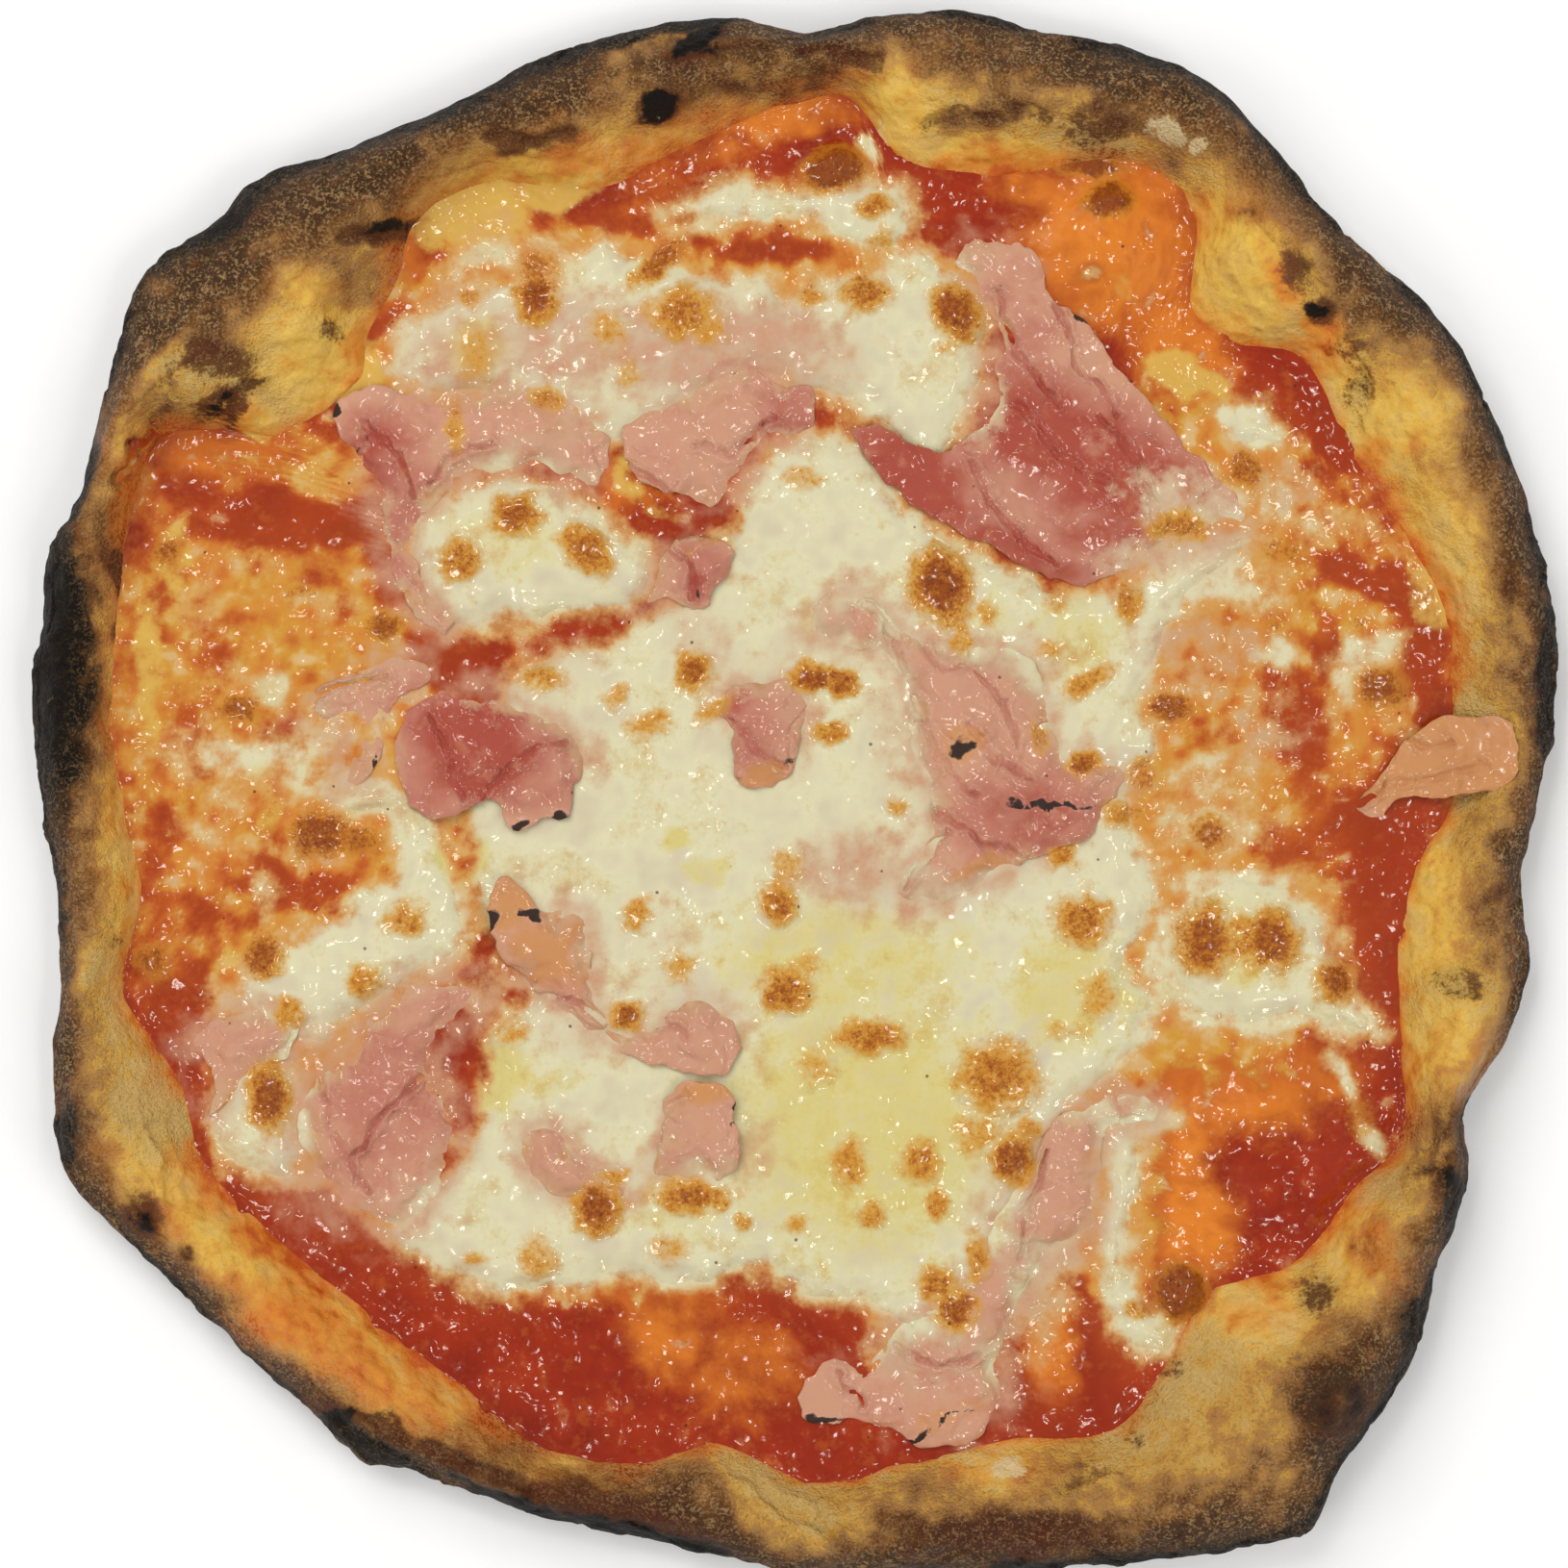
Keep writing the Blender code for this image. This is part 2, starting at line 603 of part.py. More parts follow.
nodes = []
crust = make_crust()
remember(crust)
sauce = make_sauce()
remember(sauce)
nodes.append(add_node("crust", crust, "crust", 0.75, pizza))
nodes.append(add_node("sauce", sauce, "sauce", 0.4, pizza))
for label, outline in CHEESE.items():
    width = min(max(axis) - min(axis) for axis in zip(*outline))
    spacing = CHEESE_SPACING if width > NARROW_PATCH else NARROW_SPACING
    body = make_slab(
        outline, spacing, 5.5, cheese_thickness, CHEESE_EDGE, 2, blister_points(),
    )
    remember(body)
    nodes.append(add_node(label, body, "cheese", 0.45, pizza))
for label, (outline, fold) in HAM.items():
    body = make_slab(outline, HAM_SPACING, 4.5, ham_sheet(fold), HAM_EDGE, 4, fold)
    remember(body)
    nodes.append(add_node(label, body, "ham", 0.5, pizza))

# the middle of the whole pizza's box comes to the origin, and its underside to z = 0
places = np.array([tuple(v.co) for node in nodes for v in node.data.vertices])
low, high = places.min(axis=0), places.max(axis=0)
middle = Vector(((low[0] + high[0]) / 2, (low[1] + high[1]) / 2, low[2]))
for node in nodes:
    for vert in node.data.vertices:
        vert.co = (vert.co - middle) * MM
    node.data.update()
triangles = sum(len(node.data.polygons) for node in nodes)
print("nodes", len(nodes), "triangles", triangles, "shift", tuple(middle))
print("box", [round(float(v), 2) for v in (high - low)])
for node in nodes:
    print(node.name, len(node.data.polygons))
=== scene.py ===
import math

import bmesh
import bpy
import numpy as np
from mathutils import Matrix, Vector, noise


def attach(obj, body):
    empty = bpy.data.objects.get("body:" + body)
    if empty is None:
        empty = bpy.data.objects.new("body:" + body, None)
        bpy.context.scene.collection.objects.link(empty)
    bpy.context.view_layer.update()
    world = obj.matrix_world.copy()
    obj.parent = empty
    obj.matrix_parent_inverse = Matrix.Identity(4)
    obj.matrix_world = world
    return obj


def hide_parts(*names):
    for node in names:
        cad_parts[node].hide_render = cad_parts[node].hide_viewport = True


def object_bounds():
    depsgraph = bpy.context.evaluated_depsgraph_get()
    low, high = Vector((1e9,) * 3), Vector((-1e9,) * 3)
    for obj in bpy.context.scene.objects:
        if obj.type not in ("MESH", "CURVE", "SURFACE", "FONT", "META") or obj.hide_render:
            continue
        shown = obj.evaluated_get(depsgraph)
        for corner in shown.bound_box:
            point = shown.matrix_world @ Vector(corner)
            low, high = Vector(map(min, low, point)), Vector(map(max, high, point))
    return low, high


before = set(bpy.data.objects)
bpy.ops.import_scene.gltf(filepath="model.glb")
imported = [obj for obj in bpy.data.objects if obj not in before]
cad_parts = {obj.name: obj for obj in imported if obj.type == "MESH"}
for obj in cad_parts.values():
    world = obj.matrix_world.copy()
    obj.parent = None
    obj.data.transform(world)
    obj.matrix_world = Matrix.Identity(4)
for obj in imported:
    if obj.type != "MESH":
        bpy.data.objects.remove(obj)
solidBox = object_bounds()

# all plans below are in millimetres, seen from above: x to the right, y up the picture
shiftX, shiftY = 0.067, -0.747      # middle of the pizza's box in that plan
milli = 0.001
scene = bpy.context.scene


# smooth curves through the points of a plan
def catmull(p0, p1, p2, p3, t):
    return 0.5 * (2 * p1 + (p2 - p0) * t + (2 * p0 - 5 * p1 + 4 * p2 - p3) * t * t
                  + (3 * p1 - p0 - 3 * p2 + p3) * t ** 3)


def aroundCurve(pairs):
    # smooth function of the angle in degrees through the (angle, value) pairs
    pairs = sorted((a % 360.0, v) for a, v in pairs)
    angles = np.array([a for a, v in pairs])
    values = np.array([v for a, v in pairs])
    count = len(pairs)

    def read(degrees):
        degrees = np.asarray(degrees) % 360.0
        i = np.searchsorted(angles, degrees, side="right") - 1
        start = angles[i % count]
        span = (angles[(i + 1) % count] - start) % 360.0
        t = ((degrees - start) % 360.0) / span
        return catmull(*(values[(i + k) % count] for k in (-1, 0, 1, 2)), t)

    return read


def polarCurve(points):
    return aroundCurve([(math.degrees(math.atan2(y, x)), math.hypot(x, y)) for x, y in points])


def closedCurve(points, step):
    points = np.array(points, float)
    loop = []
    for i in range(len(points)):
        p = [points[(i + k) % len(points)] for k in (-1, 0, 1, 2)]
        parts = max(1, round(float(np.linalg.norm(p[2] - p[1])) / step))
        loop += [catmull(*p, k / parts) for k in range(parts)]
    return np.array(loop)


def stretchDistance(x, y, start, end):
    # distance to the straight stretch between two plan points
    dx, dy = end[0] - start[0], end[1] - start[1]
    along = ((x - start[0]) * dx + (y - start[1]) * dy) / max(dx * dx + dy * dy, 1e-9)
    t = np.clip(along, 0, 1)
    return np.hypot(x - start[0] - t * dx, y - start[1] - t * dy)


def pathDistance(path, x, y):
    return np.min([stretchDistance(x, y, *pair) for pair in zip(path, path[1:])], axis=0)


def loopDistance(loop, x, y):
    # distance to a closed plan curve, positive inside it
    best = pathDistance(np.vstack([loop, loop[:1]]), x, y)
    hits = np.zeros(x.shape, bool)
    for (x0, y0), (x1, y1) in zip(loop, np.roll(loop, -1, axis=0)):
        if y0 != y1:
            hits ^= ((y0 > y) != (y1 > y)) & (x < (x1 - x0) * (y - y0) / (y1 - y0) + x0)
    return np.where(hits, best, -best)


def smooth(value, low=0.0, high=1.0):
    t = np.clip((value - low) / (high - low), 0.0, 1.0)
    return t * t * (3 - 2 * t)


def lumps(x, y, size, seed, z=None):
    # noise with lumps of that size, about -1 to 1
    z = np.full(len(x), float(seed)) if z is None else z / size + seed
    return np.array([noise.noise(p) for p in zip(x / size, y / size, z)])


def wander(x, y, amount, size, seed):
    # moves places about, so that the outlines looked up there come out uneven
    return x + amount * lumps(x, y, size, seed), y + amount * lumps(x, y, size, seed + 6.0)


def reachOf(spot, x, y, grow=1.0):
    # 0 in the middle of a long spot and 1 at its edge
    bx, by, rx, ry, turn = spot[:5]
    c, s = math.cos(math.radians(turn)), math.sin(math.radians(turn))
    dx, dy = x - bx, y - by
    return np.hypot((dx * c + dy * s) / (rx * grow), (dy * c - dx * s) / (ry * grow))


def spots(table, x, y, soft=1.0):
    # the strongest of some round or long spots: 1 in the middle of one, 0.5 at its edge
    total = np.zeros(x.shape)
    for spot in table:
        total = np.maximum(total, spot[5] * np.clip(1.5 - reachOf(spot, x, y) / soft, 0.0, 1.0))
    return total


# the pizza's plans, and the foot of its rim
outerEdge = (
    (150.3, 30), (149.3, 10), (146, -5), (143.5, -20), (145, -35), (140, -50), (132, -64),
    (132, -80), (126.7, -93), (122.8, -108), (116.2, -122), (107.1, -134), (101.4, -145.6),
    (90, -148.7), (74, -151.5), (54, -153.7), (40, -154.4), (20, -154.8), (0, -154.4),
    (-16.7, -150.9), (-36.4, -146.6), (-56, -141.4), (-73, -135), (-86, -131.2), (-97, -121),
    (-109.7, -110.4), (-119.5, -100.6), (-129.3, -90.8), (-140, -81.3), (-145.1, -70.4),
    (-146.2, -50), (-144.8, -36), (-145.1, -23), (-148.3, -5), (-150.4, 11), (-149, 32),
    (-146.9, 46), (-140.9, 58), (-137.4, 72), (-133.5, 86), (-131.3, 95), (-125.8, 104),
    (-112.5, 112.4), (-106.9, 119), (-87, 126.5), (-65.5, 136), (-52, 143), (-35.6, 149),
    (-11, 152), (2, 149.1), (14, 151.2), (32, 153.5), (49, 149), (63.5, 146.5), (81, 139.8),
    (95, 125.4), (110.6, 107.5), (128, 91.7), (135.8, 77), (143.2, 60), (147.5, 45),
)
sauceLine = (
    (128, 35), (129.5, 15), (129.5, -3), (122, -16), (118.5, -32), (119.5, -50), (119, -70),
    (109, -80), (98, -94), (82, -99), (73, -113), (63, -126), (43, -128), (21, -133),
    (5, -137), (-15, -129), (-30, -133), (-50, -129.5), (-65, -118), (-85, -102),
    (-105, -85.5), (-116, -74), (-121, -57), (-132, -40), (-128.6, -20), (-134.6, 12.8),
    (-133.2, 33), (-130, 56), (-124, 69.5), (-113, 71), (-103, 69), (-93, 73.5), (-85, 80),
    (-84, 88), (-78, 100), (-75, 111), (-62, 119), (-40, 118), (-22, 126), (0, 135),
    (11, 136), (20, 124), (37, 120), (50, 122), (68, 123), (79, 112), (78, 95),
    (86, 88), (99.5, 85), (109, 67.5), (121, 48),
)
outerRadius, footRadius = polarCurve(outerEdge), polarCurve(sauceLine)
crestHeight = aroundCurve((
    (0, 15.5), (25, 17), (45, 19), (62, 17), (80, 18), (100, 17.5), (125, 19.5), (142, 20.5),
    (160, 16), (180, 15), (205, 15.5), (225, 17), (245, 17.5), (268, 15.5), (290, 18.5),
    (306, 22), (322, 20), (340, 17),
))
# bubbles and hollows of the dough: x, y, radius, height
doughBubbles = (
    (62, 108, 15, 5.0), (92, -72, 21, 5.0), (93, -76, 11, -3.2), (8, 122.5, 7, 2.2),
    (76, -99, 8, 2.2), (-26, 134, 8, 2.5), (-80, 110, 9, 2.5), (105, -122, 12, 3.0),
    (90, 104, 13, 2.5), (-113, 84, 11, 2.5), (-118, 96, 10, -1.8), (60, 130, 9, 1.8),
    (-96, 88, 9, 2.0), (128, -60, 10, 2.0), (-60, -130, 10, 2.0), (25, -146, 12, 2.2),
    (88, -125, 16, -2.2), (139, 62, 9, 2.0), (-139, -62, 9, 2.0), (105, 96, 8, -1.8),
)
cheesePlans = {
    "cheese_top": (
        (-47, 100), (-43, 106), (-36, 108.5), (-30, 105), (-8, 101), (0, 98), (8, 102),
        (15, 101), (20, 106), (27, 106), (33, 100), (38, 93), (37, 80), (33, 71), (28, 64),
        (17, 72), (4, 78), (-8, 81), (-20, 76), (-33, 69), (-41, 70), (-52, 77),
        (-68, 78), (-79, 80), (-78, 90), (-66, 97), (-56, 99),
    ),
    "cheese_left": (
        (-76, 50), (-73, 55), (-68, 59), (-62, 62), (-55, 62), (-48, 60), (-42, 56), (-36, 52),
        (-30, 48.5), (-27, 41), (-33, 36), (-40, 35), (-47, 34), (-55, 33), (-62, 31),
        (-69, 32), (-75.5, 42),
    ),
    "cheese_centre": (
        (-24, 37), (-20, 46), (-13, 52), (-8, 62), (2, 70), (14, 68), (20, 57), (30, 50),
        (46, 42), (60, 38.5), (74, 44), (84, 50), (91, 49), (80, 38), (73, 28), (68, 15),
        (72, 8), (66, -2), (72, -20), (66, -34), (72, -42), (69, -52), (58, -60), (50, -70),
        (42, -86), (38, -100), (36, -110), (28, -112), (19, -104), (10, -102), (0, -99),
        (-10, -96), (-22, -99), (-36, -97), (-48, -99.5), (-60, -100), (-72, -95), (-80, -88),
        (-70, -78), (-62, -66), (-60, -50), (-52, -38), (-60, -28), (-64, -16), (-63, -4),
        (-58, 6), (-57, 20), (-47, 27), (-38, 27), (-33, 31),
    ),
    "cheese_lower_left": (
        (-90, -3), (-82, -6), (-79, -12), (-80, -19), (-86, -21), (-91, -26), (-99, -29.5),
        (-110, -38), (-108, -45), (-100, -50), (-92, -49), (-84, -44), (-76, -38),
        (-66, -34), (-65, -22), (-68, -12), (-74, -3), (-80, 2),
    ),
    "cheese_far_left": (
        (-115, -63), (-112, -74), (-106, -77.5), (-100, -77), (-96, -72), (-98, -66),
        (-99, -56), (-106, -52), (-112, -55),
    ),
    "cheese_right": (
        (73.5, -33), (76, -25), (82, -19), (92, -17), (100, -20), (105, -26), (108, -34),
        (112, -42), (115, -48), (108, -48), (100, -45), (92, -47), (84, -47), (77, -43),
    ),
    "cheese_upper_right": (
        (84, 70), (86, 73.5), (91, 74.5), (95, 72), (97, 68.5), (92, 67.5), (88, 67),
    ),
    "cheese_upper_rim": (
        (-26, 114), (-14, 119), (-3, 118), (6, 119), (14, 121), (22, 117), (23, 110),
        (17, 106.5), (10, 109), (4, 112.5), (-12, 112),
    ),
    "cheese_lower_right": (
        (62, -66), (69, -68), (69, -80), (65, -92), (69, -100), (76, -106), (74, -112),
        (66, -110), (61, -102), (60, -90), (61, -78),
    ),
}
# browned blisters: x, y, half length, half width, turn, how dark
blisters = (
    (-51, 103, 4, 4, 0, .7), (-51, 97, 4, 5, 0, .95), (-22, 94, 6.5, 5, 0, .75),
    (-17, 91, 4, 4, 0, .45), (-37, 90.5, 4.5, 4, 0, .45), (-33, 82, 2.5, 3, 0, .45),
    (-49, 77, 3, 2.5, 0, .6), (-27, 104, 7, 2.5, 42, .8), (3, 98, 3, 3, 0, .6),
    (14, 98, 5, 3.5, 0, .75), (32, 94, 6, 4.5, -45, .95), (30, 87, 3, 2, 0, .45),
    (2, 61.5, 4, 2.2, 0, .5), (16, 115, 3.5, 2.5, 0, .75), (17, 108, 3, 3, 0, .5),
    (-67, 72, 2, 5, 0, .6), (-63, 86, 4, 6, 0, .4), (-64, 97, 2.5, 2, 0, .6), (-55, 54, 5, 4, 0, .85),
    (-66, 45, 4, 4.5, 0, .75), (-41, 47, 6, 4, -40, .8), (-16, 47, 4, 3, 0, .42),
    (-50, 22, 4, 3, 0, .65), (-20, 23, 3.5, 4, 0, .85), (-35, 18, 2.5, 2.5, 0, .45),
    (3.5, 22, 4, 3, 0, .95), (9, 21, 4, 2.6, -15, .85), (7, 11, 3.5, 2.5, 0, .65),
    (29, 40, 5.6, 7.5, 15, 1.0), (33, 29, 2.5, 3.5, 20, .6), (38, 35, 2, 3, 0, .45),
    (52, 37, 2.5, 3, 0, .45), (51, 27, 3.5, 2.5, 0, .45), (58, 21, 6, 2.5, 35, .6),
    (48, 10, 2, 3, 0, .6), (20, -3.5, 2.5, 2, 0, .5), (-3, -23, 4, 4, 0, .75),
    (-2, -15, 3.5, 3.5, 0, .45), (-31, -25, 3, 3.5, 0, .6), (-23, -35, 3.5, 3, 0, .5),
    (-33, -45, 3, 3, 0, .9), (-2, -40, 5, 4.5, 0, .8), (3, -35, 2.5, 3, 0, .5),
    (15, -49, 7, 3.5, 0, .75), (-124, 47, 3, 3, 0, .8), (-98, 39, 4, 1.5, 0, .6),
    (-81, 32, 4, 3, 0, .82), (-110, 16, 4, 3, 0, .85), (-94, -9, 6, 5, 0, .95),
    (-86, -10, 5, 3, 0, .75), (-77, -26, 4.5, 3.5, 0, .65), (-105, -33, 4, 4.5, 0, .88),
    (-85, -38, 4, 3.5, 0, .6), (-100, -44, 3, 3, 0, .6), (-104, -4, 3, 5, 0, .45),
    (-127, -34, 4, 4, 0, .8), (-56, -48, 4, 3, 0, .45), (-104, -61, 4, 6.5, 0, .95),
    (-64, -93, 3, 2, 0, .5), (-51, -93, 4, 5, 0, .5), (-39, -83, 4.5, 5, 0, .95),
    (-36, -77, 3, 2, 0, .6), (-21, -80.5, 6.5, 3.5, 0, .8), (-15, -81, 3, 2.5, 0, .6),
    (-10, -86, 2, 1.5, 0, .6), (0, -86, 3, 2, 0, .42), (-25, -91, 4, 3, 0, .5), (4, -55, 4, 4, 0, .42),
    (11, -74, 3.5, 5, 0, .6), (25, -74, 4, 4, 0, .7), (28, -82, 2, 4, 0, .6), (15, -84, 3, 3, 0, .6),
    (40, -57, 8, 7, 0, .72), (36, -68, 5, 4, 0, .5), (43, -73, 4, 5, 0, .9), (47, -67, 3, 2, 0, .6),
    (28, -98, 4, 3, 0, .75), (32, -103, 4, 4, 0, .9), (36, -93, 2.5, 5, 0, .6),
    (76, 52, 6.5, 3, 0, .7), (66, 37, 3, 4, 0, .7), (74, 16, 5, 3, 0, .9), (57, 5, 3.5, 2.5, 0, .85),
    (69, 3, 3, 4, 0, .6), (65, -5, 4, 3, 0, .6), (82, -9, 4.5, 3.5, 0, .8), (57, -26, 5.5, 5, 0, .75),
    (81, -30, 5.5, 7, 0, .9), (94, -30, 5.5, 6, 0, .92), (88, -30, 4, 5, 0, .62),
    (107, -38, 4, 4.5, 0, .9), (60, -41, 3.5, 5, 0, .5), (54, -48, 4, 2, 0, .42),
    (116, 20, 5, 4.5, 0, .9), (129, 43, 3, 2.5, 0, .6), (133, 28, 3, 4, 0, .7),
    (140, 40, 2.5, 5, 0, .95), (95, 33, 3, 2, 0, .6), (112, 33, 3, 2, 0, .6), (97, 47, 5, 3, 0, .6),
    (89, 63, 4, 4, 0, .75), (53, -13, 3, 3, 0, .7), (8, 122.5, 6.5, 4.2, 10, 1.15),
    (76.5, -99.5, 5, 5, 0, 1.5), (62, 116, 4.6, 3.6, 0, 1.25), (59, 123, 7, 2, 0, 1.1),
    (68, -103, 3, 2, 0, .6), (73, -87, 2, 2, 0, .6), (112, -65, 3, 4, 0, .6),
    (-29, 12.5, 5, 2.6, 15, .5), (-16, 15.5, 5, 2, 35, .5),
)
# thin molten cheese over the sauce: x, y, half length, half width, turn, how thick
films = (
    (-108, 12, 27, 40, 8, .68), (-100, 42, 26, 14, 0, .62), (-112, -25, 18, 16, 0, .62),
    (-82, 20, 12, 24, 0, .8), (100, 25, 28, 34, 0, .66), (88, -5, 22, 18, 0, .8),
    (128, 42, 14, 12, 0, .7), (-30, -98, 24, 3.5, 0, .1), (28, -110, 10, 7, 0, .8),
    (-60, 88, 22, 14, 0, .9), (-10, 92, 24, 10, 0, .9), (62, 108, 12, 11, 0, .1),
    (88, -54, 15, 5, 0, .35), (60, -45, 14, 16, 0, .8), (-92, -62, 14, 22, 20, .7),
    (40, 100, 14, 6, 0, .5), (75, 62, 20, 14, 0, .8), (-45, 108, 18, 5, 0, .5),
    (84, -30, 26, 22, 0, .8), (63, -84, 6, 24, 0, .7), (50, -112, 6, 12, 0, .4),
    (-12, -112, 9, 8, 0, .2), (0, 108, 14, 5, 0, .45), (-62, 112, 9, 8, 0, .8), (-93, 62, 8, 7, 0, .7),
)
# places where the bare sauce shows through
bareSauce = (
    (38, 113, 14, 7, -20, 1), (-28, 118, 12, 6, 20, 1), (116, -22, 8, 24, -8, 1),
    (60, -115, 13, 12, 0, 1), (-95, -88, 16, 5, -38, 1), (-70, -104, 16, 6, -38, 1),
    (-42, -118, 22, 9, -14, 1), (-4, -104, 16, 6, -10, .8), (12, -128, 12, 8, 0, 1),
    (-68, 25, 8, 5, -35, 1), (-79, 41, 4, 8, 30, 1), (-42, 31, 9, 3, 8, 1), (-29, 56, 8, 7, -40, .8),
    (-100, 53, 16, 4.5, 0, .9), (-119, 60, 4, 5, 0, .7), (-115, 28, 6, 5, 30, .5),
    (-120, 12, 5, 8, -15, .5), (-101, 12, 4, 4.5, 0, .6), (-98, -20, 14, 4, -12, .6),
    (-119, -25, 6, 6, 0, .5), (-126, -12, 3, 8, 0, .4), (-124, -40, 7, 7, 0, .5),
    (-80, 92, 6, 4, 30, 1), (123, 30, 4, 14, 10, 1), (112, 42, 9, 3.4, -12, .9),
    (100, 10, 5, 13, 14, 1), (105, 27, 2.4, 5, 0, .7), (97, -11, 6, 5, 0, .8), (107, -7, 7, 6, 0, .8),
    (108, -51, 9, 4, -10, .8), (93, -75, 9, 10, -15, .95), (96, -90, 8, 6, 20, .8),
    (104, -68, 8, 4, 10, .9), (112, -66, 4, 7, 0, .7), (52, -120, 9, 5, 10, .8),
    (95, 80, 11, 6, -38, 1), (107, 69, 8, 2.6, -38, 1), (77, 107, 2.4, 8, 10, .9),
    (0, 129, 12, 4, 8, .7), (-3, 108, 12, 4.5, 0, .45), (30, 121, 8, 3, 0, .9),
    (-60, -112, 12, 6, -30, 1), (57, -18, 5, 3, 0, .4), (-14, 101, 8, 2, 0, .5),
    (-122, -55, 3, 7, 20, 1),
)
# oily orange sauce
orangeSauce = (
    (62, 108, 14, 14, 0, 1), (87, -58, 15, 8, -5, .95), (102, -58, 8, 6, 0, .75),
    (76, -68, 6, 11, 0, .95), (-4, 133, 14, 4, 5, .8), (51, -108, 5, 10, 0, .8),
    (-29, 62, 7, 6, 0, .55), (-112, 66, 14, 5, 0, .8), (78, -86, 8, 9, 20, .95),
    (-30, -100, 13, 4, 0, .65), (-30, 118, 10, 5, 20, .45), (-125, 30, 8, 24, 0, .6),
    (-20, 128, 10, 5, 0, .5), (76, 86, 8, 10, 30, .8), (-80, 103, 6, 7, 0, .9), (98, -5, 8, 7, 0, .5),
    (-10, -116, 11, 8, 0, .62), (-24, -108, 8, 8, 0, .7), (48, 119, 8, 4, 0, .7),
    (108, 33, 8, 4, 0, .7), (-88, 28, 10, 10, 0, .5), (-124, -30, 6, 14, 0, .5),
    (74, -78, 5, 14, 10, .8), (-35, 60, 4, 6, 0, .6), (-108, 36, 14, 8, 0, .5),
)
# yellow dough and fat among the sauce
doughPatches = (
    (-122, 45, 5, 10, 0, .6), (-128, 24, 3, 18, 0, .7), (-112, 42, 6, 5, 0, .4),
    (-104, -4, 4, 5, 0, .6), (-112, -32, 2.6, 5, 0, .6), (-62, 114, 9, 7, 0, 1),
    (-48, 118, 8, 5, 10, .9), (-93, 62, 6, 5, 0, .5), (66, 97, 3, 6, 30, .5),
    (-33, 62, 2.4, 6, 10, .7), (-26, 56, 4, 3, 0, .5), (77, 82, 9, 3.6, -28, 1),
    (-73, 112, 5, 6, 0, .7), (127, 40, 5, 9, 0, .7), (-106, 70, 3, 3, 0, .8), (-120, 34, 5, 5, 0, .4),
    (105, -16, 3, 4, 0, .3), (-87, 82, 6, 8, 0, .8), (60, -96, 4, 5, 0, .5),
)
# smaller white patches of cheese, and two painted glints (at 95, 57 and 101, 62)
whitePatchesAndGlints = (
    (-108, 7, 13, 3.6, 10, .75), (-94, 11, 6, 5, 30, .6), (-86, -1, 9, 4, -10, .8),
    (-112, -1, 5, 4, 0, .5), (-105, -23, 2.6, 6, 0, .6), (-98, -34, 5, 8, -30, .6),
    (-103, -12, 9, 2, 0, .45), (-103, 20, 3, 2.6, 0, .7), (-93, 63, 6, 4, 0, .35),
    (-108, -42, 8, 4, -10, .6), (80, 43, 13, 7, -10, .85), (95, 27, 5, 3, 0, .8),
    (113, 27, 7, 3, 15, .8), (109, 20, 2.4, 5, 0, .7), (90, 11, 8, 8, 0, .42), (100, 3, 3, 5, 0, .2),
    (88, -4, 9, 6, 0, .45), (75, -2, 6, 8, 0, .5), (74, -34, 6, 12, 0, .75), (110, -44, 7, 3, -35, .8),
    (90, -46, 16, 3, 0, .75), (104, -30, 4, 9, 15, .7), (88, -19, 15, 3.4, 0, .8),
    (108, -57, 2, 6, 25, .75), (114, -69, 1.6, 5, 25, .8), (130, 44, 5, 6, 0, .4),
    # the spots at (95, 57) and (101, 62) are painted glints, not cheese
    (-60, 103, 9, 8, 0, .62), (90, 72, 6, 3, -15, 1), (95, 57, 5, 6, 0, .6), (101, 62, 4, 2, 0, .5),
    (-42, -97, 7, 4, 0, .4), (28, -110, 10, 7, 0, .75), (47, -84, 11, 22, -10, .8),
    (84, 58, 8, 4, -30, .7), (80, 29, 10, 6, 0, .4), (72, 22, 7, 7, 0, .5), (-16, 113, 10, 3, 25, .6),
    (68, -66, 9, 3, 15, .8), (-70, -62, 4, 3, 0, .3), (15, 127, 2, 2.2, 0, .9), (82, 3, 11, 5, 20, .6),
    (78, 22, 8, 5, -20, .5), (94, 20, 4, 7, 20, .25), (106, 16, 2, 4, 0, .4), (84, -8, 10, 5, 0, .6),
    (92, 38, 7, 4, -20, .6), (104, 52, 6, 4, 0, .55), (112, 52, 5, 3, 0, .45), (-122, 8, 5, 4, 0, .5),
    (-104, 6, 12, 4, 12, .75), (-96, 2, 10, 4, 0, .7), (-118, -8, 6, 3, -20, .5),
    (-90, 36, 6, 3, 0, .45), (-118, 36, 4, 5, 0, .45), (-108, 44, 6, 3, 0, .4),
    (-100, -36, 8, 5, -20, .6), (122, 10, 5, 3, 0, .4), (-112, 22, 5, 3, 0, .4),
    (-84, 12, 5, 8, 0, .6), (-63, -40, 5, 5, 0, .5), (-116, 12, 3, 3, 0, .4), (118, 16, 5, 2, 0, .3),
    (-50, 107, 6, 3, 0, .6),
)


def bubbleHeight(x, y):
    total = np.zeros(x.shape)
    for bx, by, radius, height in doughBubbles:
        total += height * smooth(1.0 - np.hypot(x - bx, y - by) / radius)
    return total


def blisterPlaces(x, y):
    return wander(x, y, 1.3, 3.2, 201.0)


def browned(x, y):
    return np.clip(spots(blisters, *blisterPlaces(x, y)), 0, 1)


def blisterHeight(x, y):
    x, y = blisterPlaces(x, y)
    total = np.zeros(x.shape)
    for spot in blisters:
        top = (0.12 + 0.2 * spot[5] ** 2) * min(spot[2:4]) + 0.15
        total = np.maximum(total, top * np.sqrt(np.clip(1 - reachOf(spot, x, y, 1.15) ** 2, 0, 1)))
    return total


def rimLumps(x, y):
    return 1.7 * lumps(x, y, 24.0, 4.1) + 0.9 * lumps(x, y, 8.0, 7.7)


